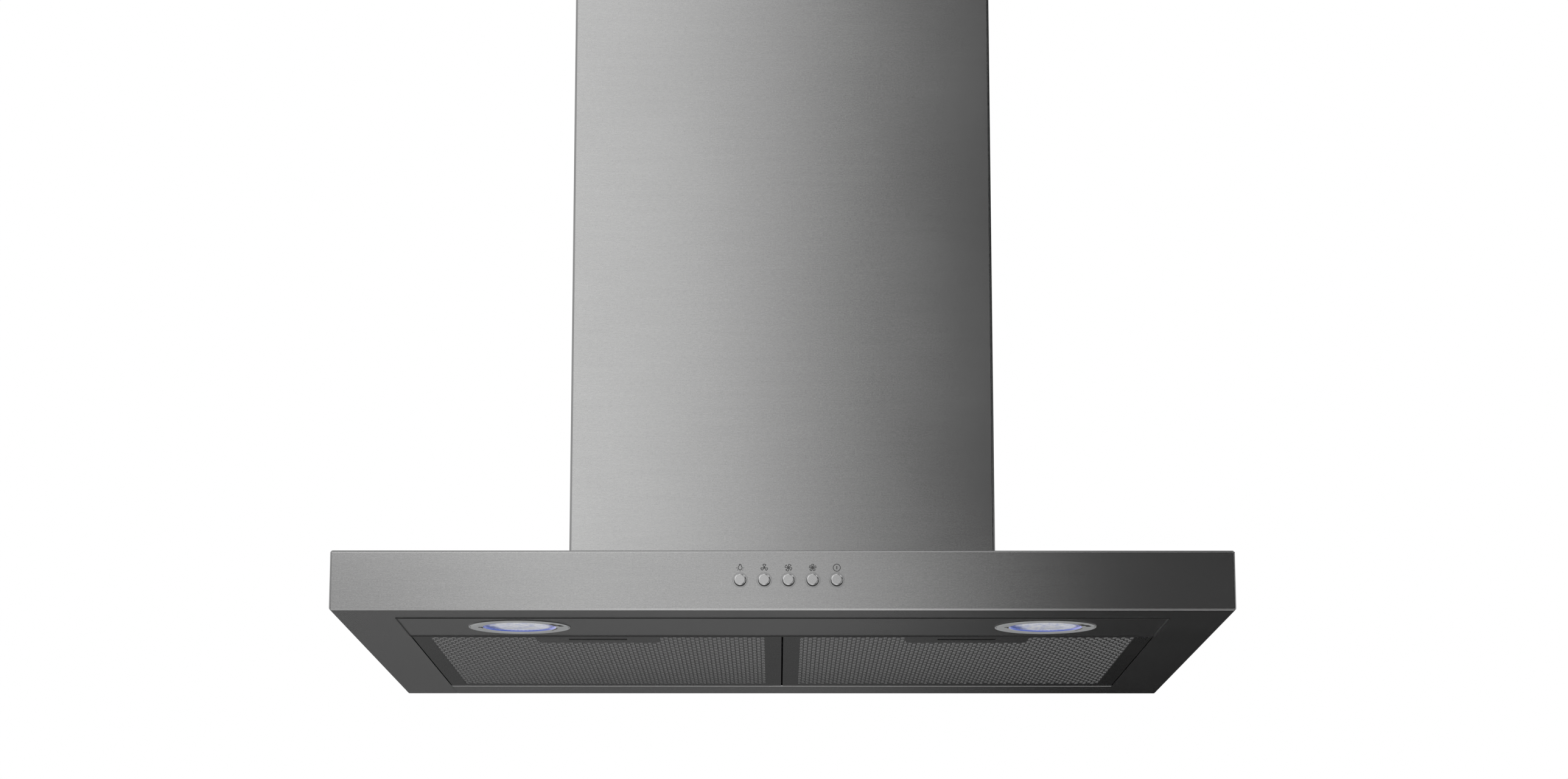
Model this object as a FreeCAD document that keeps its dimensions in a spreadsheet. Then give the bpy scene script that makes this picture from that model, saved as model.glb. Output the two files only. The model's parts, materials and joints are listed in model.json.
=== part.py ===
import FreeCAD, Part
import math
import os

import Sketcher
from FreeCAD import Placement, Rotation, Vector

# Wall-hung range hood: a flat canopy under a telescopic chimney.
# Millimetres. +X is to the right as the hood is faced, +Y runs into the wall, +Z is up.
# The origin is on the wall, in the middle of the hood, level with the underside of the canopy.

# Driving dimensions: name, value, what it measures
DRIVING = [
    ("canopy_width", 600, "canopy, side to side"),
    ("canopy_depth", 500, "canopy, wall to front"),
    ("canopy_height", 40, "canopy, underside to top"),
    ("steel", 0.8, "thickness of the steel sheet"),
    ("bend", 1.7, "outside radius of the canopy's folds"),
    ("rim_width", 40, "rim folded under at the front and sides"),
    ("lamp_panel_depth", 95, "panel that carries the lamps"),
    ("rear_panel_depth", 50, "strip under the canopy at the wall"),
    ("panel_gap", 0.3, "gap round the drop-in panels"),
    ("panel_lap", 12, "how far the panels' ears lap the rim"),
    ("panel_flange", 8, "height of the panels' upturned edges"),
    ("hem", 6, "folded hem at the front of the rear panel"),
    ("lamp_side", 80, "lamp centre to the end of its panel"),
    ("lamp_setback", 85, "lamp centre to the front"),
    ("lens_radius", 25, "glass that shows inside the lamp ring"),
    ("lens_seat", 3.5, "width of the ledge that the glass sits on"),
    ("lens_gap", 0.3, "glass to the ring round it"),
    ("lens_thickness", 2.6, "glass at its edge"),
    ("lens_bulge", 0.8, "how far the glass domes down"),
    ("bezel_lip", 1.0, "lamp ring under the glass"),
    ("bezel_proud", 0.7, "lamp ring below the panel"),
    ("bezel_flange", 4.5, "lamp ring beyond its neck"),
    ("neck_wall", 1.7, "neck of the lamp ring, through the panel"),
    ("neck_height", 6, "neck of the lamp ring, above the panel"),
    ("neck_gap", 0.3, "neck to its hole in the panel"),
    ("snap_width", 6, "snap tab of the lamp ring"),
    ("snap_reach", 1.5, "snap tab over the panel"),
    ("snap_height", 1.5, "snap tab of the lamp ring"),
    ("reflector_sheet", 0.8, "sheet of the lamp reflector"),
    ("reflector_throat", 1.5, "reflector to the lamp capsule"),
    ("reflector_shoulder", 6, "flat top of the reflector"),
    ("bulb_radius", 4.8, "lamp capsule"),
    ("socket_radius", 9, "lamp holder"),
    ("socket_height", 11, "lamp holder"),
    ("lamp_headroom", 6, "lamp holder to the canopy's top"),
    ("button_radius", 3.8, "push button"),
    ("button_pitch", 16, "from one button to the next"),
    ("button_shift", 3.8, "middle of the row of buttons to the right of the hood's middle"),
    ("button_proud", 4, "button in front of the panel"),
    ("button_travel", 3, "how far a button is pressed"),
    ("button_round", 0.8, "rounding of a button's face"),
    ("sleeve_wall", 0.8, "wall of the sleeve round a button"),
    ("sleeve_length", 4.5, "sleeve behind the panel"),
    ("button_gap", 0.5, "button to its sleeve"),
    ("switch_width", 92, "switch housing, side to side"),
    ("switch_headroom", 7.2, "switch housing to the canopy's top"),
    ("switch_depth", 26, "switch housing, front to back"),
    ("moulding", 1.5, "wall of moulded boxes"),
    ("board", 1.6, "circuit board"),
    ("filter_thickness", 9, "grease filter"),
    ("filter_recess", 0.3, "grease filter above the rim's underside"),
    ("filter_side_gap", 0.7, "filter to the rim at its side"),
    ("filter_middle_gap", 1.2, "between the two filters"),
    ("filter_front_gap", 1.0, "filter to the lamp panel"),
    ("filter_rear_gap", 0.6, "filter to the rear panel"),
    ("filter_border", 12, "filter frame round the perforated sheet"),
    ("filter_front_border", 10, "filter frame at the front"),
    ("filter_sheet", 0.6, "sheet of the filter"),
    ("pleat_pitch", 12, "between pleats of the filter mesh"),
    ("perforation_pitch", 16, "between holes of the perforated sheet"),
    ("perforation_radius", 5, "hole of the perforated sheet"),
    ("tab_length", 8, "filter tab over the rear panel"),
    ("tab_width", 24, "filter tab, side to side"),
    ("handle_width", 88, "filter handle at the frame"),
    ("handle_taper", 2, "how much each side of the handle closes in"),
    ("handle_depth", 31, "filter handle behind the frame's edge"),
    ("handle_corner", 4, "rounding of the handle's rear corners"),
    ("slot_width", 41, "finger slot, side to side"),
    ("slot_depth", 8.2, "finger slot, front to back"),
    ("slot_setback", 7, "finger slot behind the handle's front edge"),
    ("case_width", 60, "latch case, side to side"),
    ("case_depth", 26, "latch case, front to back"),
    ("case_height", 7, "latch case above the handle plate"),
    ("case_wall", 1.5, "wall of the latch case"),
    ("latch_travel", 3.5, "how far the latch is pulled"),
    ("latch_gap", 0.3, "latch to its case"),
    ("nose_width", 16, "latch nose, side to side"),
    ("nose_thickness", 1.8, "latch nose"),
    ("rib", 1.5, "finger rib of the latch"),
    ("keeper_bite", 2.5, "latch nose over its keeper"),
    ("keeper_level", 3.0, "keeper tongue above the underside"),
    ("keeper_sheet", 0.5, "spring steel of the keeper"),
    ("box_side_room", 30, "blower box to the chimney's outside, at a side"),
    ("box_front_room", 30, "blower box to the chimney's outside, at the front"),
    ("box_flange", 12, "foot flange of the blower box"),
    ("ear_width", 13, "wall ear beside the blower box"),
    ("intake_lip", 8, "canopy top inside the blower box"),
    ("wall_hole_radius", 3.5, "screw hole in a wall ear"),
    ("wall_hole_rise", 180, "between the upper and lower wall holes"),
    ("wall_hole_edge", 35, "top of the blower box to the upper wall holes"),
    ("impeller_end_gap", 13, "fan wheel to a side plate of the scroll"),
    ("blade_count", 36, "blades of the fan wheel"),
    ("blade_depth", 15, "fan blade, inside to outside"),
    ("blade_thickness", 1.2, "fan blade"),
    ("volute_growth", 10, "scroll radius gained each quarter turn"),
    ("scroll_width", 130, "scroll between its side plates"),
    ("scroll_wall", 1.5, "scroll sheet"),
    ("scroll_plate", 1.0, "scroll side plates"),
    ("scroll_wall_gap", 20, "scroll to the wall"),
    ("scroll_front_gap", 21, "scroll to the front of the blower box"),
    ("scroll_foot_gap", 10, "scroll to the canopy"),
    ("throat_height", 50, "scroll outlet above the tongue"),
    ("tongue_gap", 13, "scroll tongue to the fan wheel"),
    ("tongue_offset", 8, "scroll tongue behind the fan axis"),
    ("motor_clearance", 14, "motor case inside the fan blades"),
    ("motor_length", 60, "motor case"),
    ("motor_wall", 2, "wall of the motor case"),
    ("rotor_radius", 25, "rotor on the motor shaft"),
    ("air_gap", 1, "rotor to stator"),
    ("shaft_radius", 4, "motor shaft"),
    ("running_gap", 0.05, "shaft or pin in its bearing"),
    ("hub_radius", 14, "fan hub"),
    ("hub_length", 16, "fan hub"),
    ("bracket_plate", 2, "motor bracket"),
    ("bracket_reach", 16, "motor bracket arm beyond the inlet"),
    ("arm_width", 14, "motor bracket arm"),
    ("duct_radius", 75, "duct collar, outside"),
    ("collar_wall", 2, "wall of the duct collar"),
    ("collar_height", 55, "duct collar"),
    ("collar_flange", 10, "foot flange of the duct collar"),
    ("collar_stop", 1.2, "bead that a duct stops against"),
    ("collar_stop_height", 2.5, "bead that a duct stops against"),
    ("collar_foot", 2.5, "thickness of that flange"),
    ("collar_wall_gap", 5, "collar flange to the wall"),
    ("damper_level", 16, "damper pin above the blower box"),
    ("pin_radius", 1.5, "damper pin"),
    ("flap_thickness", 1.4, "damper flap"),
    ("flap_drop", 1.8, "damper flap below its pin"),
    ("flap_gap", 1.5, "damper flap to the collar"),
    ("knuckle_radius", 3, "hinge knuckle of a flap"),
    ("knuckle_length", 18, "hinge knuckle of a flap"),
    ("terminal_depth", 22, "terminal box off the blower box"),
    ("terminal_width", 70, "terminal box, front to back"),
    ("terminal_height", 70, "terminal box"),
    ("terminal_rise", 120, "terminal box above the canopy"),
    ("cable_radius", 4, "bore of the cable gland"),
    ("gland_radius", 8, "cable gland"),
    ("gland_length", 16, "cable gland above the terminal box"),
    ("capacitor_radius", 12, "motor capacitor"),
    ("capacitor_length", 55, "motor capacitor"),
    ("capacitor_rise", 135, "motor capacitor above the canopy"),
    ("band", 0.8, "sheet of the capacitor clip"),
    ("band_height", 15, "capacitor clip"),
    ("transformer_width", 96, "lamp transformer"),
    ("transformer_depth", 40, "lamp transformer"),
    ("transformer_height", 24, "lamp transformer"),
    ("transformer_foot", 12, "foot of the lamp transformer"),
    ("transformer_round", 1.5, "rounding of the lamp transformer"),
    ("chimney_width", 310, "lower chimney cover, side to side"),
    ("chimney_depth", 280, "lower chimney cover, wall to front"),
    ("lower_height", 500, "lower chimney cover"),
    ("upper_height", 400, "upper chimney cover"),
    ("upper_shown", 160, "upper cover above the lower one"),
    ("chimney_bend", 2, "outside radius of the chimney's folds"),
    ("slide_gap", 0.7, "between the two chimney covers"),
    ("return_width", 11, "chimney edge folded in at the wall"),
    ("foot_width", 10, "foot flange of the lower chimney cover"),
    ("bracket_height", 30, "chimney bracket"),
    ("bracket_drop", 12, "chimney bracket below the top edge"),
    ("bracket_sheet", 1.2, "sheet of the chimney bracket"),
    ("bracket_clear", 8.5, "chimney bracket to the cover's rear edges"),
    ("bracket_step", 25, "bracket arm in front of the wall"),
    ("bracket_tab", 22, "bracket tab along the chimney side"),
    ("bracket_spacing", 200, "between the bracket's wall holes"),
    ("screw_radius", 1.9, "shank of the small screws"),
    ("screw_head", 3.4, "head of the small screws"),
    ("screw_head_height", 2.2, "head of the small screws"),
    ("screw_length", 6, "shank of the small screws"),
    ("screw_gap", 0.2, "small screw in its hole"),
]

doc = FreeCAD.newDocument("range_hood")
sheet = doc.addObject("Spreadsheet::Sheet", "Sizes")
for row, (alias, amount, meaning) in enumerate(DRIVING, start=1):
    sheet.set(f"A{row}", meaning)
    sheet.set(f"B{row}", str(amount))
    sheet.setAlias(f"B{row}", alias)
doc.recompute()


class Size:
    """A number that remembers the spreadsheet formula it comes from."""

    def __init__(self, amount, formula=None):
        self.amount = float(amount)
        self.formula = formula or repr(float(amount))

    def joined(self, other, sign, amount):
        return Size(amount, f"({self.formula} {sign} {other.formula})")

    def __add__(self, other):
        other = as_size(other)
        return self.joined(other, "+", self.amount + other.amount)

    def __sub__(self, other):
        other = as_size(other)
        return self.joined(other, "-", self.amount - other.amount)

    def __mul__(self, other):
        other = as_size(other)
        return self.joined(other, "*", self.amount * other.amount)

    def __truediv__(self, other):
        other = as_size(other)
        return self.joined(other, "/", self.amount / other.amount)

    def __neg__(self):
        return as_size(0) - self

    __radd__ = __add__
    __rmul__ = __mul__

    def __rsub__(self, other):
        return as_size(other) - self


def as_size(thing):
    return thing if isinstance(thing, Size) else Size(thing)


def size(alias):
    return Size(sheet.get(alias), f"Sizes.{alias}")


def root_of_difference(long_side, short_side):
    """The third side of a right triangle, from its longest side and one other."""
    third = math.sqrt(long_side.amount**2 - short_side.amount**2)
    return Size(third, f"sqrt({long_side.formula}^2 - {short_side.formula}^2)")


def bind(thing, prop, amount):
    thing.setExpression(prop, as_size(amount).formula)


def place(thing, x=0, y=0, z=0):
    for axis, amount in zip("xyz", (x, y, z)):
        bind(thing, f"Placement.Base.{axis}", amount)


# Part primitives and booleans

pieces = []


def piece(label, thing):
    """Names a finished sub-part. Its label is its file's name."""
    thing.Label = label
    pieces.append(thing)
    return thing


def block(x, y, z):
    """A box between two planes on each axis."""
    thing = doc.addObject("Part::Box", "Block")
    for prop, (low, high) in zip(("Length", "Width", "Height"), (x, y, z)):
        bind(thing, prop, as_size(high) - low)
    place(thing, x[0], y[0], z[0])
    return thing


TURNS = {
    "X": Rotation(Vector(0, 1, 0), 90),
    "Y": Rotation(Vector(1, 0, 0), -90),
    "Z": Rotation(),
}


def rod(axis, radius, length, x, y, z):
    """A cylinder that starts at a point and runs along an axis."""
    thing = doc.addObject("Part::Cylinder", "Rod")
    thing.Placement = Placement(Vector(), TURNS[axis])
    bind(thing, "Radius", radius)
    bind(thing, "Height", length)
    place(thing, x, y, z)
    return thing


def join(*things):
    made = doc.addObject("Part::MultiFuse", "Join")
    made.Shapes = list(things)
    made.Refine = True
    return made


def cut(base, *tools):
    made = doc.addObject("Part::Cut", "Cut")
    made.Base = base
    made.Tool = tools[0] if len(tools) == 1 else join(*tools)
    made.Refine = True
    return made


def group(*things):
    """Several separate solids that share one node."""
    made = doc.addObject("Part::Compound", "Group")
    made.Links = list(things)
    return made


# PartDesign bodies and sketches


def new_body(label):
    return piece(label, doc.addObject("PartDesign::Body", label))


def sketch_on(body, plane, offset=0):
    """A sketch on one of the body's own origin planes, moved along its normal."""
    sketch = body.newObject("Sketcher::SketchObject", f"{body.Name}_sketch")
    support = next(f for f in body.Origin.OriginFeatures if f.Role == f"{plane}_Plane")
    sketch.AttachmentSupport = [(support, "")]
    sketch.MapMode = "FlatFace"
    bind(sketch, "AttachmentOffset.Base.z", offset)
    return sketch


def hold(sketch, kind, edge, end, amount):
    """Holds one end of an edge to a distance from the sketch's origin."""
    amount = as_size(amount)
    number = sketch.addConstraint(Sketcher.Constraint(kind, -1, 1, edge, end, amount.amount))
    sketch.setExpression(f"Constraints[{number}]", amount.formula)


def arc_between(start, stop, radius):
    """The shorter arc from start to stop, clockwise if the radius is negative."""
    if radius < 0:
        start, stop = stop, start
    chord = stop - start
    apothem = math.sqrt(max(radius**2 - chord.Length**2 / 4, 0))
    centre = (start + stop) / 2 + Vector(-chord.y, chord.x, 0) / chord.Length * apothem
    circle = Part.Circle(centre, Vector(0, 0, 1), abs(radius))
    angles = [math.atan2(p.y - centre.y, p.x - centre.x) for p in (start, stop)]
    return Part.ArcOfCircle(circle, *angles)


def outline(sketch, *corners):
    """A closed outline through the corners. A corner with a third entry is reached by an arc
    of that radius, negative if the arc runs clockwise."""
    corners = [[as_size(entry) for entry in corner] for corner in corners]
    points = [Vector(corner[0].amount, corner[1].amount, 0) for corner in corners]
    first = sketch.GeometryCount
    starts, stops = [], []
    for i, corner in enumerate(corners):
        before, here = points[i - 1], points[i]
        if len(corner) == 2:
            sketch.addGeometry(Part.LineSegment(before, here))
            starts.append(1)
        else:
            edge = sketch.addGeometry(arc_between(before, here, corner[2].amount))
            starts.append(1 if corner[2].amount > 0 else 2)
            number = sketch.addConstraint(Sketcher.Constraint("Radius", edge, abs(corner[2].amount)))
            radius = corner[2] if corner[2].amount > 0 else -corner[2]
            sketch.setExpression(f"Constraints[{number}]", radius.formula)
        stops.append(3 - starts[-1])
    for i, corner in enumerate(corners):
        after = (i + 1) % len(corners)
        sketch.addConstraint(
            Sketcher.Constraint("Coincident", first + i, stops[i], first + after, starts[after])
        )
        hold(sketch, "DistanceX", first + i, stops[i], corner[0])
        hold(sketch, "DistanceY", first + i, stops[i], corner[1])
    return sketch


def rectangle(sketch, x, y):
    return outline(sketch, (x[0], y[0]), (x[1], y[0]), (x[1], y[1]), (x[0], y[1]))


def circle(sketch, x, y, radius):
    x, y, radius = as_size(x), as_size(y), as_size(radius)
    round_line = Part.Circle(Vector(x.amount, y.amount, 0), Vector(0, 0, 1), radius.amount)
    edge = sketch.addGeometry(round_line)
    number = sketch.addConstraint(Sketcher.Constraint("Radius", edge, radius.amount))
    sketch.setExpression(f"Constraints[{number}]", radius.formula)
    hold(sketch, "DistanceX", edge, 3, x)
    hold(sketch, "DistanceY", edge, 3, y)
    return sketch


def extrude(kind, body, sketch, length, along_normal, middle):
    feature = body.newObject(f"PartDesign::{kind}", f"{body.Name}_{kind.lower()}")
    feature.Profile = sketch
    bind(feature, "Length", length)
    feature.Reversed = along_normal if kind == "Pocket" else not along_normal
    feature.Midplane = middle
    sketch.Visibility = False
    doc.recompute()
    return feature


def pad(body, sketch, length, along_normal=True, middle=False):
    return extrude("Pad", body, sketch, length, along_normal, middle)


def pocket(body, sketch, length, along_normal=False, middle=False):
    before = body.Shape.Volume
    feature = extrude("Pocket", body, sketch, length, along_normal, middle)
    assert body.Shape.Volume < before, f"a pocket in {body.Label} cuts nothing"
    return feature


def revolve(body, sketch, axis):
    feature = body.newObject("PartDesign::Revolution", f"{body.Name}_revolution")
    feature.Profile = sketch
    feature.ReferenceAxis = (sketch, [axis])
    feature.Angle = 360
    doc.recompute()
    return feature


def repeat_round(body, feature, sketch, count):
    """Repeats a feature round the sketch's normal axis."""
    pattern = body.newObject("PartDesign::PolarPattern", f"{body.Name}_pattern")
    pattern.Originals = [feature]
    pattern.Axis = (sketch, ["N_Axis"])
    pattern.Angle = 360
    bind(pattern, "Occurrences", count)
    body.Tip = pattern
    doc.recompute()
    return pattern


def lies_in(edge, planes):
    """True if an edge lies wholly in the planes, such as {"x": (-5, 5), "y": (0,)}."""
    for axis, places in planes.items():
        low = getattr(edge.BoundBox, f"{axis.upper()}Min")
        high = getattr(edge.BoundBox, f"{axis.upper()}Max")
        spots = [as_size(place).amount for place in places]
        if not any(max(abs(low - spot), abs(high - spot)) < 1e-4 for spot in spots):
            return False
    return True


def round_edges(body, radius, *choices):
    """Rounds every edge that lies in one of the choices of planes."""
    base = body.Tip
    names = []
    for number, edge in enumerate(base.Shape.Edges, start=1):
        if any(lies_in(edge, planes) for planes in choices):
            names.append(f"Edge{number}")
    assert names, f"no edge to round in {body.Label}"
    fillet = body.newObject("PartDesign::Fillet", f"{body.Name}_fillet")
    fillet.Base = (base, names)
    bind(fillet, "Radius", radius)
    doc.recompute()
    return fillet


def screw(axis, side, x, y, z, length):
    """A pan-head screw, its head's underside at a point and its shank along the axis, towards side."""
    centre = dict(zip("XYZ", (as_size(x), as_size(y), as_size(z))))
    far = dict(centre)
    far[axis] = centre[axis] + side * length
    near = dict(centre)
    near[axis] = centre[axis] - side * size("screw_head_height")
    head_start = near if side > 0 else centre
    shank_start = centre if side > 0 else far
    head = rod(axis, size("screw_head"), size("screw_head_height"), *head_start.values())
    shank = rod(axis, size("screw_radius"), length, *shank_start.values())
    return join(head, shank)


# Places that several pieces share

wall = as_size(0)
steel = size("steel")
half = size("canopy_width") / 2
front = -size("canopy_depth")
canopy_top = size("canopy_height")
opening_half = half - size("rim_width")
opening_front = front + size("rim_width")
lamp_panel_rear = opening_front + size("lamp_panel_depth")
rear_panel_front = -size("rear_panel_depth")
lamp_x = opening_half - size("lamp_side")
lamp_y = front + size("lamp_setback")

filter_low = size("filter_recess")
filter_high = filter_low + size("filter_thickness")
filter_front = lamp_panel_rear + size("filter_front_gap")
filter_rear = rear_panel_front - size("filter_rear_gap")
filter_outer = opening_half - size("filter_side_gap")
filter_inner = size("filter_middle_gap") / 2
filter_middle = (filter_outer + filter_inner) / 2
filter_sheet = size("filter_sheet")
keeper_end = filter_front + filter_sheet + size("latch_travel")
handle_front = filter_front + size("filter_front_border")
plate_top = filter_low + filter_sheet

chimney_half = size("chimney_width") / 2
chimney_front = -size("chimney_depth")
box_half = chimney_half - size("box_side_room")
box_front = chimney_front + size("box_front_room")

growth = size("volute_growth")
scroll_wall = size("scroll_wall")
scroll_room = -box_front - size("scroll_wall_gap") - size("scroll_front_gap")
volute_start = (scroll_room - growth * 3 - scroll_wall * 2) / 2
fan_y = -size("scroll_wall_gap") - scroll_wall - volute_start - growth * 2.5
fan_z = canopy_top + size("scroll_foot_gap") + scroll_wall + volute_start + growth * 1.5
impeller_radius = volute_start - size("tongue_gap")
inlet_radius = impeller_radius - size("blade_depth")
motor_radius = inlet_radius - size("motor_clearance")
scroll_half = size("scroll_width") / 2
impeller_half = scroll_half - size("impeller_end_gap")
side_plate_face = scroll_half + size("scroll_plate")
box_top = fan_z - growth / 2 + volute_start + scroll_wall + size("throat_height")
duct_y = -size("duct_radius") - size("collar_flange") - size("collar_wall_gap")
pin_z = box_top + size("damper_level")

lower_top = canopy_top + size("lower_height")
upper_half = chimney_half - steel - size("slide_gap")
upper_front = chimney_front + steel + size("slide_gap")
upper_rear = -steel - size("slide_gap")
upper_top = lower_top + size("upper_shown")
upper_bottom = upper_top - size("upper_height")

screw_hole = size("screw_radius") + size("screw_gap")
box_screw_places = [
    (-box_half / 2, box_front - size("box_flange") / 2),
    (box_half / 2, box_front - size("box_flange") / 2),
    (-box_half - size("box_flange") / 2, box_front * 0.75),
    (-box_half - size("box_flange") / 2, box_front * 0.25),
    (box_half + size("box_flange") / 2, box_front * 0.75),
    (box_half + size("box_flange") / 2, box_front * 0.25),
]
foot_line = chimney_half - steel - size("foot_width") / 2
foot_front_line = chimney_front + steel + size("foot_width") / 2
chimney_screw_places = [
    (-chimney_half / 2, foot_front_line),
    (chimney_half / 2, foot_front_line),
    (-foot_line, chimney_front / 2),
    (foot_line, chimney_front / 2),
]
BUTTONS = ["light", "low", "medium", "high", "off"]
button_middle = size("button_shift")
button_places = [
    button_middle + size("button_pitch") * (i - (len(BUTTONS) - 1) / 2) for i in range(len(BUTTONS))
]
button_level = canopy_top / 2
SIDES = {"left": -1, "right": 1}


def mirrored(side, inner, outer):
    """A span on one side of the middle, as its lower and higher ends."""
    return (inner, outer) if side > 0 else (-outer, -inner)


# Canopy


def build_canopy_shell():
    body = new_body("canopy_shell")
    pad(body, rectangle(sketch_on(body, "XY"), (-half, half), (front, wall)), canopy_top)
    levels = (0, canopy_top)
    ends = (-half, half)
    folds = [{"x": ends, "y": (front,)}, {"y": (front,), "z": levels}, {"x": ends, "z": levels}]
    round_edges(body, size("bend"), *folds)
    hollow = sketch_on(body, "XZ")
    rectangle(hollow, (-half + steel, half - steel), (steel, canopy_top - steel))
    pocket(body, hollow, size("canopy_depth") - steel, along_normal=True)
    opening = sketch_on(body, "XY")
    rectangle(opening, (-opening_half, opening_half), (opening_front, wall))
    pocket(body, opening, steel, along_normal=True)
    top = sketch_on(body, "XY", canopy_top)
    lip = size("intake_lip")
    rectangle(top, (lip - box_half, box_half - lip), (box_front + lip, -lip))
    for x, y in box_screw_places + chimney_screw_places:
        circle(top, x, y, screw_hole)
    pocket(body, top, steel)
    controls = sketch_on(body, "XZ", -front)
    for x in button_places:
        circle(controls, x, button_level, size("button_radius") + size("button_gap") + size("sleeve_wall"))
    pocket(body, controls, steel)


def build_canopy_back():
    """The plate at the wall. It stands on the rim and reaches down between its ends."""
    inside, lip = half - steel, opening_half - size("panel_gap")
    plate = block((-inside, inside), (-steel, wall), (steel, canopy_top - steel))
    lower_lip = block((-lip, lip), (-steel, wall), (0, steel))
    piece("canopy_back", join(plate, lower_lip))


def panel_ears(y):
    """Ears at both ends of a drop-in panel, which rest on the rim."""
    lap = size("panel_lap")
    for side in SIDES.values():
        yield block(mirrored(side, opening_half - lap, opening_half + lap), y, (steel, steel * 2))


def build_lamp_panel():
    gap, flange = size("panel_gap"), size("panel_flange")
    x = (gap - opening_half, opening_half - gap)
    panel_front = opening_front + gap
    sheet_metal = block(x, (panel_front, lamp_panel_rear), (0, steel))
    front_edge = block(x, (panel_front, panel_front + steel), (0, flange))
    rear_edge = block(x, (lamp_panel_rear - steel, lamp_panel_rear), (0, flange))
    ears = panel_ears((panel_front + flange, lamp_panel_rear - flange))
    holes = []
    window = (size("nose_width") + size("rib")) / 2
    level = size("keeper_level")
    for side in SIDES.values():
        holes.append(rod("Z", neck_radius + size("neck_gap"), steel * 2, side * lamp_x, lamp_y, -steel / 2))
        middle = side * filter_middle
        tall = (level - size("latch_gap"), level + size("keeper_sheet") + size("latch_gap"))
        deep = (lamp_panel_rear - steel * 2, lamp_panel_rear + steel)
        holes.append(block((middle - window, middle + window), deep, tall))
    piece("lamp_panel", cut(join(sheet_metal, front_edge, rear_edge, *ears), *holes))


def build_rear_panel():
    gap, flange = size("panel_gap"), size("panel_flange")
    x = (gap - opening_half, opening_half - gap)
    fold = rear_panel_front + steel
    sheet_metal = block(x, (fold, -steel), (0, steel))
    hem = block(x, (fold, rear_panel_front + size("hem")), (0, steel * 2))
    hem_edge = rod("X", steel, x[1] - x[0], x[0], fold, steel)
    rear_edge = block(x, (-steel * 2, -steel), (0, flange))
    ears = panel_ears((rear_panel_front + size("hem"), -steel * 2))
    piece("rear_panel", join(sheet_metal, hem, hem_edge, rear_edge, *ears))


# Controls


def build_button(name, x):
    """A cap and a stem, turned about the line that it is pressed along."""
    body = new_body(f"button_{name}")
    place(body, x, front, button_level)
    radius, face = size("button_radius"), -size("button_proud")
    shoulder = size("sleeve_length") + size("button_gap") + steel
    stem = size("switch_depth") - size("moulding") - size("board") - size("button_travel") * 2.5
    lip = radius + size("sleeve_wall")
    stem_radius = radius / 2
    easing = size("button_round")
    profile = sketch_on(body, "XY")
    outline(
        profile,
        (0, face),
        (radius - easing, face),
        (radius, face + easing, easing),
        (radius, shoulder),
        (lip, shoulder),
        (lip, shoulder + size("sleeve_wall")),
        (stem_radius, shoulder + size("sleeve_wall")),
        (stem_radius, stem),
        (0, stem),
    )
    revolve(body, profile, "V_Axis")


def build_button_sleeves():
    sleeves = []
    bore = size("button_radius") + size("button_gap")
    outside = bore + size("sleeve_wall")
    length = steel + size("sleeve_length")
    for x in button_places:
        tube = rod("Y", outside, length, x, front, button_level)
        collar = rod("Y", outside + size("sleeve_wall"), size("sleeve_wall"), x, front + steel, button_level)
        hole = rod("Y", bore, length * 2, x, front - length / 2, button_level)
        sleeves.append(cut(join(tube, collar), hole))
    piece("button_sleeves", group(*sleeves))


def build_switch():
    width = size("switch_width") / 2
    height = canopy_top - steel - size("switch_headroom") - button_level
    wall_thickness = size("moulding")
    back = front + size("switch_depth")
    wide = (button_middle - width, button_middle + width)
    shell = block(wide, (front + steel, back), (button_level - height, button_level + height))
    room_wide = (wide[0] + wall_thickness, wide[1] - wall_thickness)
    room_z = height - wall_thickness
    room_tall = (button_level - room_z, button_level + room_z)
    board_back = back - wall_thickness
    board_front = board_back - size("board")
    piece("switch_housing", cut(shell, block(room_wide, (front, board_back), room_tall)))
    board = block(room_wide, (board_front, board_back), room_tall)
    switches = []
    span = size("button_radius")
    depth = (board_front - size("button_travel") / 2, board_front)
    for x in button_places:
        switches.append(block((x - span, x + span), depth, (button_level - span, button_level + span)))
    piece("switch_board", join(board, *switches))


# Lamps


lens_edge = size("lens_radius") + size("lens_seat")
lens_low = size("bezel_lip") - size("bezel_proud")
lens_high = lens_low + size("lens_thickness")
bezel_bore = lens_edge + size("lens_gap")
neck_radius = bezel_bore + size("neck_wall")
bezel_radius = neck_radius + size("bezel_flange")
socket_top = canopy_top - steel - size("lamp_headroom")
reflector_top = socket_top - size("socket_height")


def lamp_body(label, side):
    body = new_body(label)
    place(body, side * lamp_x, lamp_y, 0)
    return body


def build_bezel(name, side):
    """The ring that shows, its neck through the panel and three snap tabs above the panel."""
    proud = size("bezel_proud")
    body = lamp_body(f"lamp_bezel_{name}", side)
    profile = sketch_on(body, "XZ")
    outline(
        profile,
        (size("lens_radius"), -proud),
        (bezel_radius - proud / 2, -proud),
        (bezel_radius, -proud / 2),
        (bezel_radius, 0),
        (neck_radius, 0),
        (neck_radius, size("neck_height")),
        (bezel_bore, size("neck_height")),
        (bezel_bore, lens_low),
        (size("lens_radius"), lens_low),
    )
    revolve(body, profile, "V_Axis")
    snap = sketch_on(body, "XY", steel + size("panel_gap") / 2)
    reach = (neck_radius - size("neck_wall") / 2, neck_radius + size("snap_reach"))
    rectangle(snap, reach, (-size("snap_width") / 2, size("snap_width") / 2))
    repeat_round(body, pad(body, snap, size("snap_height")), snap, 3)


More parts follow.
